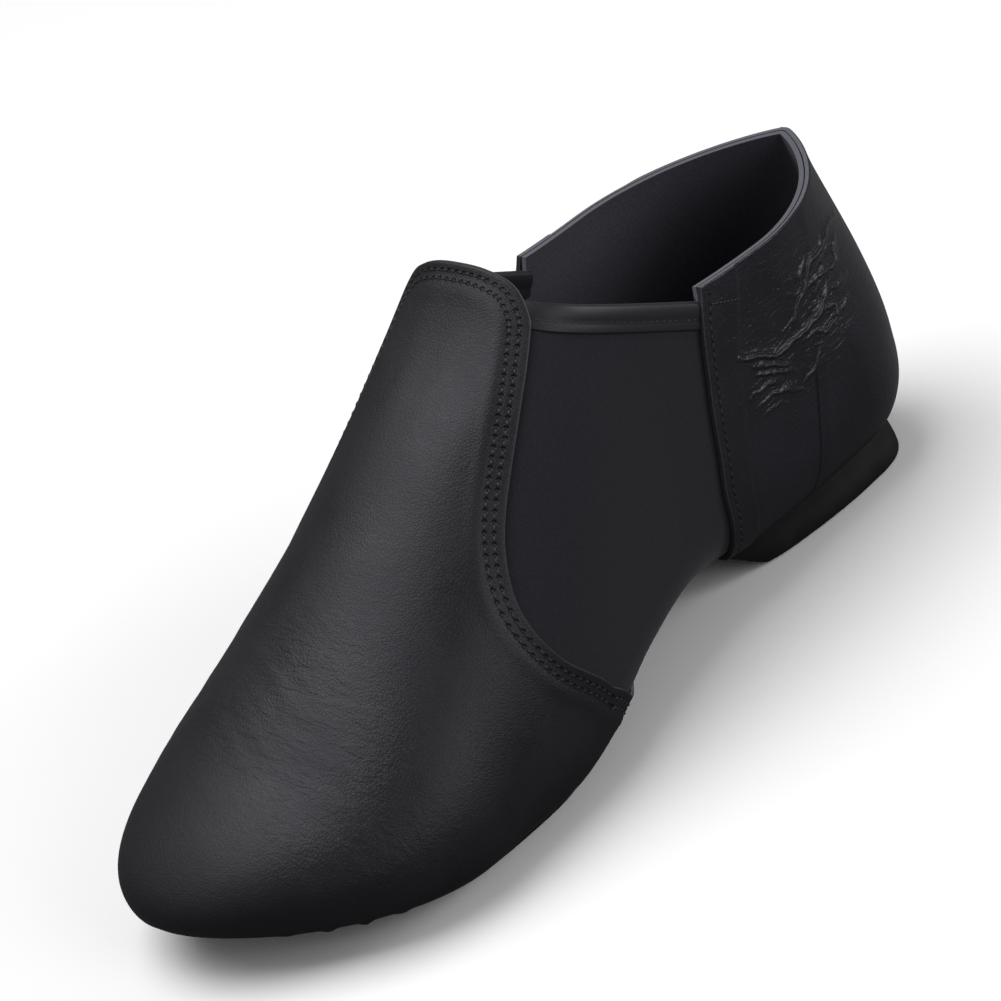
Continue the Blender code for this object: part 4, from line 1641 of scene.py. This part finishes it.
QUARTER_CREASES: tuple[Crease, ...] = (
    Crease(((-36, 61), (-28.6, 57.2), (-19.6, 53.7), (-10, 53.7), (-3.2, 55.3), (2, 59)), 0.95),
    Crease(((-14.5, 56.5), (-10.6, 60.8), (-6.6, 62.9), (-2.9, 66), (5.4, 66.1), (9.8, 66.8)), 0.80),
    Crease(((5.4, 66.1), (11, 66.8), (16.8, 65), (21.8, 63.4)), 0.50),
    Crease(((-8, 62.2), (-0.4, 61.6), (4, 60.3), (8.2, 59.9), (9.5, 62.6), (14, 63.3)), 0.65),
    Crease(((-7.9, 54.6), (-2.4, 53.9), (1.4, 52.5), (-0.3, 49.9), (-5.2, 49.3), (-8, 46.5)), 0.60),
    Crease(((-7, 47.5), (-11.2, 43.9), (-16.5, 42.6)), 0.45),
    Crease(((-31.5, 56.4), (-25.2, 53.1), (-18.5, 48.8)), 0.60),
    Crease(((-31, 54), (-25, 50.7), (-17.5, 46.8)), 0.55),
    Crease(((-35.5, 49.6), (-30.7, 49.7), (-27, 49.2), (-22.5, 47.4)), 0.45),
    Crease(((-34.5, 46.2), (-28.3, 46.4), (-24.5, 45.8), (-19, 43.6)), 0.40),
    Crease(((-34, 43), (-28.5, 43.4), (-22.5, 41.6)), 0.30),
    Crease(((-8.5, 62), (-7.1, 65.8), (-3, 68.3)), 0.45),
    Crease(((-20, 57.6), (-13.4, 58), (-9.4, 60.2)), 0.20),
    Crease(((-4.5, 58.5), (0.5, 61.8), (2.5, 65.2), (6, 68.5)), 0.55),
    Crease(((-28, 46.8), (-22, 44.2), (-16, 40.8)), 0.35),
    Crease(((0, 57.3), (5.5, 55.3), (11, 55.1)), 0.45),
    Crease(((2, 64), (7, 64.2), (12, 61)), 0.40),
    Crease(((-2, 51.2), (3.5, 50.4), (8, 51.6)), 0.35),
    Crease(((-13, 51.4), (-7.5, 51.2), (-3, 48.4)), 0.40),
)


@dataclass
class Quarter:
    """The leather round the heel, with its creases and the stiffener's smooth bulge."""

    last: Last
    face: float = 0.0015
    thickness: float = 0.0009
    roll: float = 0.00030
    bulge: float = 0.00035
    strip_step: float = 0.00042
    medial_shift: float = 2.0
    medial_share: float = 0.8
    collar_row: float = 2.999
    stitch_start: float = 0.004
    stitch_end: float = 0.0035
    bar: float = 0.0042
    bar_depth: float = 0.0128

    def skin(self) -> Skin:
        """The leather's surface on the last, finest where it folds.

        Returns:
            The surface.
        """
        ribs = stretches((0, 23), (0.33, 107), (0.90, 19), (0.99, 0)) + [0.9945, 0.9972, 0.9988, 1.0]
        rows = stretches((0, 6), (1, 15), (2, 19), (2.35, 81), (2.83, 13), (2.99, 0))
        rows += [2.9945, 2.9972, 2.9988, 3.0]
        return Skin.over(self.last, {Zone.HEEL: ribs}, rows, ())

    def edges(self) -> tuple[Edge, Edge, tuple[float, float]]:
        """The quarter's edges.

        Returns:
            The front edges as one line, the collar, and the line's runs at the two top corners.
        """
        rows = np.linspace(0, 3, 420)
        lateral, medial = self.last.pair(self.last.seam(Seam.QUARTER, rows), rows)
        shares = np.linspace(0, self.last.quarter_edge, 200)
        left, right = self.last.pair(shares, np.full_like(shares, 3.0))
        front = Edge(np.concatenate((lateral, medial[::-1])))
        corners = float(front.run[len(rows) - 1]), float(front.run[len(rows)])
        return front, Edge(np.concatenate((left[::-1], right))), corners

    def relief(self, skin: Skin, creases: Iterable[Crease], front: np.ndarray, rim: np.ndarray) -> np.ndarray:
        """How far the leather stands out: its folds, the strip at its front and the stiffener.

        Args:
            skin: the leather's surface.
            creases: the folds on both sides.
            front: the distance of each point from the front edges.
            rim: its distance from the nearest edge.

        Returns:
            The relief at each point.
        """
        folds = sum(crease.swell(skin.co, skin.row) for crease in creases)
        folds = folds * smoothstep(rim, 0.0015, 0.006)
        strip = STRIP_WIDTH + STRIP_LEAN * np.clip(skin.co[:, 2], 0, STRIP_TOP)
        folds += self.strip_step * (1 - smoothstep(front - strip, -0.0004, 0.0005))
        behind = skin.co[:, 1] + STIFFENER_FRONT + STIFFENER_LEAN * (STIFFENER_HEIGHT - skin.co[:, 2])
        return folds + self.bulge * smoothstep(behind, -0.0005, 0.0040) * smoothstep(skin.row, 1.3, 1.8)

    def build(self, tree: Repeater, thread: bpy.types.Material) -> None:
        """Makes the leather and its stitches.

        Args:
            tree: the stitches' tree.
            thread: the thread's material.
        """
        skin = self.skin()
        front, collar, corners = self.edges()
        run, distance = front.measure(skin.co)
        rim = np.minimum(distance, collar.measure(skin.co)[1])
        creases = (*QUARTER_CREASES, *mirrored(QUARTER_CREASES, self.medial_shift, self.medial_share))
        lift = self.face + self.thickness + self.relief(skin, creases, distance, rim)
        outer = skin.at(lift - edge_roll(rim, self.roll))
        maps = fold_maps(creases, skin.co, skin.row)
        leather = replace(QUARTER_LEATHER, folds=len(maps))
        finishes = [finish.build() for finish in (leather, SUEDE, CUT_EDGE, DYED_EDGE)]
        edge_map = (run, distance, front.total)
        piece = shell_object("quarter_leather", skin, outer, skin.at(self.face), finishes, edge_map)
        for k, values in enumerate(maps):
            store_vectors(piece.data, f"fold_{k}", np.concatenate((values, np.zeros_like(values))))
        first, dyed = len(piece.data.polygons) - len(skin.rims), len(finishes) - 1
        for k, pair in enumerate(skin.rims):
            if min(skin.row[v] for v in pair) < self.collar_row:
                piece.data.polygons[first + k].material_index = dyed
        finish_piece(piece, "leather", "quarter")
        self.sew(Chart(skin.faces, run, distance, outer, front.total), corners, tree, thread)

    def sew(
        self, chart: Chart, corners: tuple[float, float], tree: Repeater, thread: bpy.types.Material
    ) -> None:
        """Lays the row of stitches down each front edge, with a bar across the strip's top.

        Args:
            chart: finds places on the leather.
            corners: the runs at the two top corners.
            tree: the stitches' tree.
            thread: the thread's material.
        """
        lateral, medial = corners
        for name, start, end, bar in (
            ("lateral", self.stitch_start, lateral - self.stitch_end, lateral - self.bar),
            ("medial", medial + self.stitch_end, chart.total - self.stitch_start, medial + self.bar),
        ):
            row = chart.lay(stitch_places(QUARTER_STITCHES, start, end))
            across = chart.lay([(bar, d) for d in np.arange(0.0036, self.bar_depth, 0.0013)], turn=True)
            laid = tuple(np.concatenate(pair) for pair in zip(row, across))
            threads = Threads(f"quarter_stitches_{name}", 0.0014, 0.0005)
            finish_piece(threads.build(laid, tree, thread), "leather")


@dataclass
class Vamp:
    """The leather over the forefoot: toe pleats, flex wrinkles and a double row of stitches."""

    last: Last
    ribs: int = 150
    face: float = 0.0015
    thickness: float = 0.0009
    roll: float = 0.00050
    pleats: float = 0.0064
    pleat_depth: float = 0.0012
    groove_depth: float = 0.00020
    ridge: float = 0.0066
    ridge_height: float = 0.00022
    ball: float = -0.166
    instep: float = -0.098
    wave: float = 0.00006
    hollow: float = 0.0006

    def skin(self) -> Skin:
        """The leather's surface on the last.

        Returns:
            The surface.
        """
        ribs = [0.0, 0.0015, 0.0032, 0.0052, *(k / self.ribs for k in range(1, self.ribs + 1))]
        rows = stretches((0, 37), (1, 27), (2, 47), (3, 0))
        return Skin.over(self.last, {Zone.VAMP: ribs}, rows, np.linspace(3, 4, 26)[1:])

    def edge(self) -> Edge:
        """The rear edge: up the lateral side, over the top and down the medial side.

        Returns:
            The edge.
        """
        rows = np.concatenate((np.linspace(0, 3, 420), np.linspace(3, 4, 120)[1:]))
        lateral, medial = self.last.pair(self.last.seam(Seam.GORE, rows), rows)
        return Edge(np.concatenate((lateral, medial[-2::-1])))

    def toe_pleats(self, skin: Skin, pad: ForefootPad) -> np.ndarray:
        """Gathers that run out from the front of the pad, under the toe.

        Args:
            skin: the leather's surface.
            pad: the pad under the forefoot.

        Returns:
            The relief at each point.
        """
        line = pad.outline(0.0)
        edge = Edge(np.column_stack((line, np.zeros(len(line)))))
        flat = skin.co * (1, 1, 0)
        run, gap = edge.measure(flat)
        front = pad.along(flat[:, 1])
        warp = run / self.pleats + 0.16 * np.sin(run / 0.013) + 0.08 * np.sin(run / 0.0047 + 1)
        fold = np.cos(warp * math.pi) ** 4 - 0.42
        under = smoothstep(-skin.out[:, 2], 0.68, 0.93)
        reach = smoothstep(gap, -0.001, 0.002) * (1 - smoothstep(gap, 0.010, 0.018))
        ahead = smoothstep(front, 0.845, 0.885)
        return self.pleat_depth * fold * under * reach * ahead

    def flex(self, skin: Skin) -> np.ndarray:
        """Shallow soft waves over the ball and the instep.

        Args:
            skin: the leather's surface.

        Returns:
            The relief at each point.
        """
        x, y, _ = skin.co.T
        waves = np.sin(y * 950 + 4 * np.sin(x * 70) + 2 * np.sin(x * 160 + 1))
        waves *= np.sin(y * 210 + x * 120 + 1.0)
        place = np.exp(-(((y - self.ball + 0.25 * x) / 0.018) ** 2)) * smoothstep(skin.row, 2.0, 2.4)
        dip = np.exp(-(((y - self.instep) / 0.012) ** 2)) * smoothstep(skin.row, 3.0, 3.6)
        return self.wave * waves * place - self.hollow * dip

    def build(self, pad: ForefootPad, tree: Repeater, thread: bpy.types.Material) -> None:
        """Makes the leather and its stitches.

        Args:
            pad: the pad under the forefoot.
            tree: the stitches' tree.
            thread: the thread's material.
        """
        skin = self.skin()
        edge = self.edge()
        run, distance = edge.measure(skin.co)
        relief = self.toe_pleats(skin, pad) + self.flex(skin)
        groove = sum(np.exp(-(((distance - d) / 0.0008) ** 2)) for d in VAMP_STITCHES.distances)
        relief = relief * smoothstep(distance, 0.001, 0.008) - self.groove_depth * groove
        relief += self.ridge_height * np.exp(-(((distance - self.ridge) / 0.0016) ** 2))
        outer = skin.at(self.face + self.thickness + relief - edge_roll(distance, self.roll))
        finishes = [VAMP_LEATHER.build(), SUEDE.build(), CUT_EDGE.build()]
        edge_map = (run, distance, edge.total)
        leather = shell_object("vamp_leather", skin, outer, skin.at(self.face), finishes, edge_map)
        finish_piece(leather, "leather", "vamp")
        chart = Chart(skin.faces, run, distance, outer, edge.total)
        laid = chart.lay(stitch_places(VAMP_STITCHES, 0.0, edge.total))
        finish_piece(Threads("vamp_stitches").build(laid, tree, thread), "leather")


@dataclass
class Upper:
    """The stretch gores and arch with the lining, in one hollow wall."""

    last: Last
    wall: float = 0.0012
    ribs: dict[Zone, int] = field(default_factory=lambda: {Zone.HEEL: 60, Zone.GORE: 60, Zone.VAMP: 70})

    def build(self) -> None:
        """Makes the wall."""
        zones = {zone: np.linspace(0, 1, count + 1) for zone, count in self.ribs.items()}
        rows = stretches((0, 7), (1, 19), (2, 55), (3, 0))
        skin = Skin.over(self.last, zones, rows, np.linspace(3, 4, 16)[1:])
        finishes = [NEOPRENE.build(), LINING.build(), CUT_EDGE.build()]
        wall = shell_object("upper_shell", skin, skin.at(self.wall), skin.co, finishes)
        finish_piece(wall, "neoprene", "upper")


@dataclass
class Binding:
    """The elastic tape folded over one gore's top edge."""

    last: Last
    side: Side
    wall: float = 0.0012
    depth: float = 0.0055
    thickness: float = 0.00068
    gap: float = 0.00010
    stations: int = 96
    rear_overlap: float = 0.001
    front_overlap: float = 0.022
    pitch: float = 0.0021

    def top(self, along: float) -> float:
        """Height of the gore's top edge, which the tape follows in a straight line.

        Args:
            along: the share of the length.

        Returns:
            The height.
        """
        last = self.last
        slope = (last.gore_front_height - last.gore_rear_height) / (last.vamp_edge - last.gore_start)
        return last.gore_rear_height + slope * (along - last.gore_start)

    def section(self, along: float, way: np.ndarray) -> np.ndarray:
        """The tape's cross-section at one place, as a closed loop of points.

        Args:
            along: the share of the length.
            way: the tape's direction.

        Returns:
            The points.
        """
        downs = np.array([0.0, 0.11, 0.24, 0.37, 0.50, 0.62, 0.74, 0.90, 1.0]) * self.depth
        tilt = math.atan(way[2] / max(abs(way[1]), 1e-6))
        shares = along + downs * math.sin(tilt) / self.last.length
        heights = self.top(along) - downs * math.cos(tilt)
        _, across, height = self.last.outline(shares, self.side)
        start = self.last.steps
        reach = lookup(heights, height[:, start:], across[:, start:])
        line = self.last.place(shares, reach, heights, self.side)
        up = line[0] - line[1]
        up /= np.linalg.norm(up)
        out = np.cross(way, up)
        out /= np.linalg.norm(out)
        out *= np.sign(out[0]) * self.side.value
        near = self.wall + self.gap
        swell = np.array([1.05, 1.22, 1.30, 1.26, 1.10, 0.84, 0.90, 0.94, 0.80])
        outer = [p + out * (near + self.thickness * s) for p, s in zip(line[::-1], swell[::-1])]
        inner = [p - out * (self.gap + self.thickness * s) for p, s in zip(line, swell)]
        middle = line[0] + out * self.wall / 2
        turn = np.linspace(0, math.pi, 11)[1:-1]
        radius, rise = self.wall / 2 + self.gap + self.thickness, self.gap + self.thickness
        bend = [middle + out * radius * math.cos(a) + up * rise * math.sin(a) for a in turn]
        fold = [middle + out * r + up * self.gap * 0.5 for r in (-self.wall / 2, self.wall / 2)]
        return np.array([*outer, *bend, *inner, line[-1] - out * self.gap, *fold, line[-1] + out * near])

    def build(self, tree: Repeater, thread: bpy.types.Material, tape: bpy.types.Material) -> None:
        """Makes the tape and its stitches.

        Args:
            tree: the stitches' tree.
            thread: the thread's material.
            tape: the tape's material.
        """
        last = self.last
        start, end = last.quarter_edge - self.rear_overlap, last.vamp_edge + self.front_overlap
        shares = np.linspace(start, end, self.stations)
        ends = np.array([last.quarter_edge + 0.020, last.vamp_edge - 0.010])
        first, final = last.point(ends, self.side, np.array([3.0, 3.0]))
        way = (final - first) / np.linalg.norm(final - first)
        rings = [self.section(float(a), way) for a in shares]
        bm = bmesh.new()
        verts = bridge(bm, rings)
        bm.faces.new(verts[0])
        bm.faces.new(verts[-1])
        bmesh.ops.recalc_face_normals(bm, faces=bm.faces)
        side = self.side.name.lower()
        finish_piece(solid_piece(f"gore_tape_{side}", bm, tape, 45), "elastic", f"gore_binding_{side}")
        line = Edge(np.array([ring[3] for ring in rings]))
        run = np.arange(self.pitch / 2, line.total, self.pitch)
        spots, ways = line.read(run), line.read(run + 0.0008) - line.read(run - 0.0008)
        up = Edge(np.array([ring[5] for ring in rings])).read(run) - spots
        outs = np.cross(ways, up)
        outs *= np.sign(outs[:, :1]) * self.side.value
        threads = Threads(f"gore_tape_stitches_{side}", 0.0012, 0.00038, 0.00004)
        finish_piece(threads.build((spots, ways, outs), tree, thread), "elastic")


@dataclass
class ForefootPad:
    """The oval rubber pad under the forefoot, with a rounded rim and a tread of small pyramids."""

    last: Last
    rear: float = 0.508
    front: float = 0.900
    width: float = 0.85
    oval: float = 2.7
    thickness: float = 0.0030
    face: float = 0.0027
    tread: float = 0.0008
    rim: float = 0.0012
    floor_reach: float = 0.034

    def along(self, y: np.ndarray) -> np.ndarray:
        """Shares of the length at places along Y."""
        return (self.last.heel_centre - y) / self.last.length

    def half(self, along: np.ndarray, side: Side, inset: float) -> np.ndarray:
        """Half width of the pad, less an inset.

        Args:
            along: shares of the length.
            side: the half.
            inset: how much narrower it is.

        Returns:
            The half widths.
        """
        middle, reach = (self.rear + self.front) / 2, (self.front - self.rear) / 2 - inset / self.last.length
        share = np.clip(1 - np.abs((along - middle) / reach) ** self.oval, 0, None) ** (1 / self.oval)
        return np.clip(self.width * self.last.half_width(along, side) - inset, 0, None) * share

    def top(self, along: np.ndarray) -> np.ndarray:
        """Height of the pad's upper face.

        Args:
            along: shares of the length.

        Returns:
            The heights.
        """
        step = 0.005
        rise = self.last.underside(along + step) - self.last.underside(along - step)
        return self.last.underside(along) - self.face * np.hypot(1, rise / (2 * step * self.last.length))

    def outline(self, inset: float, count: int = 240) -> np.ndarray:
        """The pad's outline in plan, from its rear along the lateral side and back.

        Args:
            inset: how far it stands in.
            count: about how many points it has.

        Returns:
            The points' X and Y.
        """
        reach = (self.front - self.rear) / 2 - inset / self.last.length
        along = (self.rear + self.front) / 2 - reach * np.cos(np.linspace(0, math.pi, count // 2 + 1))
        y = self.last.heel_centre - self.last.length * along
        lateral = np.column_stack((self.last.middle(along) + self.half(along, Side.LATERAL, inset), y))
        medial = np.column_stack((self.last.middle(along) - self.half(along, Side.MEDIAL, inset), y))
        return np.concatenate((lateral, medial[-2:0:-1]))

    def ring(self, inset: float, down: float) -> np.ndarray:
        """The outline at an inset, as far under the pad's upper face as down."""
        line = self.outline(inset)
        return np.column_stack((line, self.top(self.along(line[:, 1])) - down))

    def build(self, tree: Repeater, rubber: bpy.types.Material) -> None:
        """Makes the pad and its tread.

        Args:
            tree: the tread's tree.
            rubber: the material.
        """
        deep, rim = self.thickness, self.rim
        floor = deep - self.tread
        steps = (
            (4 * rim, 0.0),
            (0.0, 0.0),
            (-0.0002, 0.0004),
            (-0.0002, deep - 0.0009),
            (0.0001, deep - 0.0004),
            (0.0004, deep - 0.0001),
            (0.0008, deep),
            (rim, deep),
            (rim + 0.0004, floor),
        )
        insets = np.linspace(rim + 0.002, self.floor_reach, 16)
        inner = [self.ring(inset, floor) for inset in insets]
        rings = [self.ring(inset, down) for inset, down in steps]
        piece = ring_solid("forefoot_pad", rings + inner, rubber)
        finish_piece(piece, "rubber", "forefoot_sole")
        under = [self.ring(rim + 0.0009, floor), *inner[1:]]
        patch = ring_solid("forefoot_under", under, rubber, closed=False)
        middle = self.last.heel_centre - self.last.length * (self.rear + self.front) / 2
        dress_tread("forefoot_tread", patch, tree, rubber, (0.0, float(middle), TREAD_BELOW), self.tread)


def dress_tread(
    name: str,
    under: bpy.types.Object,
    tree: Repeater,
    rubber: bpy.types.Material,
    centre: Triple,
    height: float,
) -> bpy.types.Object:
    """Hangs pyramids from a patch that faces down, and removes the patch.

    Args:
        name: the tread's name.
        under: the patch.
        tree: the tread's tree.
        rubber: the material.
        centre: the middle of the lattice.
        height: the pyramids' height.

    Returns:
        The tread.
    """
    mesh = under.data
    bpy.data.objects.remove(under)
    if mesh.polygons[0].normal.z > 0:
        mesh.flip_normals()
    values = {
        "Pitch": TREAD_PITCH,
        "Height": height,
        "Centre": centre,
        "Count": TREAD_CELLS + 1,
        "Material": rubber,
    }
    return finish_piece(tree.apply(name, mesh, values), "rubber")


@dataclass
class Heel:
    """The moulded rubber heel: a cup under the leather, a flared side and a treaded foot."""

    last: Last
    height: float = 0.0100
    face: float = 0.0027
    rim_step: float = 0.05
    rake: float = 0.22
    tread: float = 0.0008
    side: tuple[tuple[float, float], ...] = (
        (0.80, 0.08),
        (0.35, 0.16),
        (0.12, 0.17),
        (0.03, 0.12),
        (0.00, 0.04),
    )
    levels: tuple[float, ...] = (1.2, 1.0, 0.8, 0.6, 0.45, 0.3, 0.2, 0.12, 0.07, 0.03, 0.01, 0.0)
    cup: float = 0.006
    edge_inset: float = 0.0016
    floor_insets: tuple[float, ...] = (0.0019, 0.006, 0.012)
    tread_inset: float = 0.0030

    def loop(self) -> np.ndarray:
        """The cup's rim, under the leather's outer face.

        Returns:
            The rim's points, from the rear along the lateral side and back.
        """
        ribs = np.linspace(0, 1, 60)
        one = np.ones_like(ribs)
        shares = self.last.along_zone(Zone.HEEL, ribs, one)
        lateral, medial = self.last.pair(shares, one)
        across = np.linspace(1, 0, 14)[1:]
        front, other = self.last.pair(self.last.seam(Seam.QUARTER, across), across)
        line = np.concatenate((lateral, front, other[-2::-1], medial[:0:-1]))
        line[:, 2] -= self.face
        return line

    def outward(self, line: np.ndarray) -> np.ndarray:
        """The way out of the loop in plan.

        Args:
            line: the loop.

        Returns:
            A direction for each point.
        """
        way = np.roll(line, -1, axis=0)[:, :2] - np.roll(line, 1, axis=0)[:, :2]
        way /= np.linalg.norm(way, axis=1, keepdims=True)
        out = np.column_stack((way[:, 1], -way[:, 0], np.zeros(len(way))))
        middle = line.mean(axis=0)
        return out * np.sign(((line - middle) * out).sum(axis=1).mean())

    def build(self, tree: Repeater, rubber: bpy.types.Material) -> None:
        """Makes the heel and its tread.

        Args:
            tree: the tread's tree.
            rubber: the material.
        """
        line = self.loop()
        out = self.outward(line)
        rim, rear = line[:, 2], line[:, 1].max()
        middle = (line.max(axis=0) + line.min(axis=0)) / 2
        heights, reaches = zip(*reversed(((self.levels[0], self.rim_step), *self.side)))

        def ring(height: float, inset: float = 0.0, deeper: float = 0.0) -> np.ndarray:
            """The heel's outline at a height.

            Args:
                height: the height over the floor, as a share of the heel's.
                inset: how far it stands in.
                deeper: how far it is sunk into the foot.

            Returns:
                A point for each of the rim's.
            """
            reach = float(smooth_curve(np.array([height]), heights, reaches)[0])
            points = line + out * self.height * reach
            spokes = (points - middle) * (1, 1, 0)
            points = points - spokes * inset / np.linalg.norm(spokes, axis=1, keepdims=True)
            z = np.minimum(self.height * height, rim)
            points[:, 1] += (rear - points[:, 1]) * self.rake * np.clip(1 - z / rim, 0, None)
            points[:, 2] = z + deeper
            return points

        rims = [ring(height) for height in self.levels]
        inner = line - out * self.cup
        inner[:, 2] = rim
        foot = [ring(0.0, self.edge_inset), *(ring(0.0, inset, self.tread) for inset in self.floor_insets)]
        finish_piece(ring_solid("heel_pad", [inner, *rims, *foot], rubber), "rubber", "heel")
        under = [ring(0.0, self.tread_inset, self.tread), *foot[2:]]
        patch = ring_solid("heel_under", under, rubber, closed=False)
        dress_tread("heel_tread", patch, tree, rubber, (0.0, -0.003, TREAD_BELOW), self.tread)


@dataclass
class Studio:
    """The camera, the soft lights and the plain floor."""

    place: Triple = (0.6474, -0.6155, 0.5243)
    target: Triple = (-0.0006, -0.088, 0.050)
    roll: float = -18.29
    lens: float = 152.0
    floor_colour: Triple = (0.985, 0.985, 0.985)
    floor_bounce: Triple = (0.16, 0.16, 0.16)
    floor_reach: float = 6.0
    floor_drop: float = 0.0002

    def camera(self) -> None:
        """Places the camera at the photograph's angle to the shoe."""
        data = bpy.data.cameras.new("camera")
        data.lens, data.sensor_width = self.lens, 36.0
        made = bpy.data.objects.new("camera", data)
        bpy.context.scene.collection.objects.link(made)
        back = (Vector(self.place) - Vector(self.target)).normalized()
        turn = back.to_track_quat("Z", "Y").to_matrix() @ Matrix.Rotation(math.radians(self.roll), 3, "Z")
        made.matrix_world = Matrix.Translation(self.place) @ turn.to_4x4()
        bpy.context.scene.camera = made

    def light(self, name: str, place: Triple, size: float, power: float) -> None:
        """A square soft light that faces the shoe.

        Args:
            name: the light's name.
            place: where it hangs.
            size: its side in metres.
            power: its power in watts.
        """
        data = bpy.data.lights.new(name, "AREA")
        data.size, data.energy = size, power
        made = bpy.data.objects.new(name, data)
        made.location = place
        made.rotation_euler = (Vector(place) - Vector(self.target)).to_track_quat("Z", "Y").to_euler()
        made.visible_camera = False
        bpy.context.scene.collection.objects.link(made)

    def build(self) -> None:
        """Sets up the studio."""
        self.camera()
        scene = bpy.context.scene
        scene.view_settings.view_transform = "Standard"
        world = bpy.data.worlds.new("studio")
        world.use_nodes = True
        background = world.node_tree.nodes["Background"]
        background.inputs["Color"].default_value = (0.96, 0.95, 1.0, 1)
        background.inputs["Strength"].default_value = 0.21
        scene.world = world
        self.light("top", (-0.42, -0.38, 1.36), 1.3, 19.6)
        self.light("front", (0.9, -1.3, 0.8), 0.9, 0.7)
        self.light("side", (1.45, -0.12, 0.70), 0.8, 4.6)
        self.light("rear", (1.05, 0.95, 0.60), 0.7, 9)
        mesh = bpy.data.meshes.new("floor")
        far = self.floor_reach
        mesh.from_pydata([(-far, -far, 0), (far, -far, 0), (far, far, 0), (-far, far, 0)], [], [(0, 1, 2, 3)])
        shader = Shader("floor")
        seen = shader.node("ShaderNodeLightPath").outputs["Is Camera Ray"]
        colour = shader.mix(seen, self.floor_bounce, self.floor_colour)
        finish = {"Base Color": colour, "Roughness": 0.9, "Specular IOR Level": 0.0}
        mesh.materials.append(shader.dress(finish))
        floor = add_piece("floor", mesh)
        floor.location.z = -self.floor_drop


def main() -> None:
    """Builds the scene in order and reports each piece."""
    logging.basicConfig(level=logging.INFO, format="%(name)s: %(message)s")
    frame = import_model()
    Studio().build()
    last = Last()
    thread, rubber, tape = THREAD.build(), RUBBER.build(), ELASTIC.build()
    stitches, tread = stitch_tree(), tread_tree(TREAD_CELLS)
    pad = ForefootPad(last)
    Upper(last).build()
    Vamp(last).build(pad, stitches, thread)
    Quarter(replace(last, collar_step=0.050)).build(stitches, thread)
    for side in Side:
        Binding(last, side).build(stitches, thread, tape)
    pad.build(tread, rubber)
    Heel(last).build(tread, rubber)
    insole = frame["nodes"]["insole"]
    insole.data.materials.clear()
    insole.data.materials.append(INSOLE_CLOTH.build())


if __name__ == "__main__":
    main()
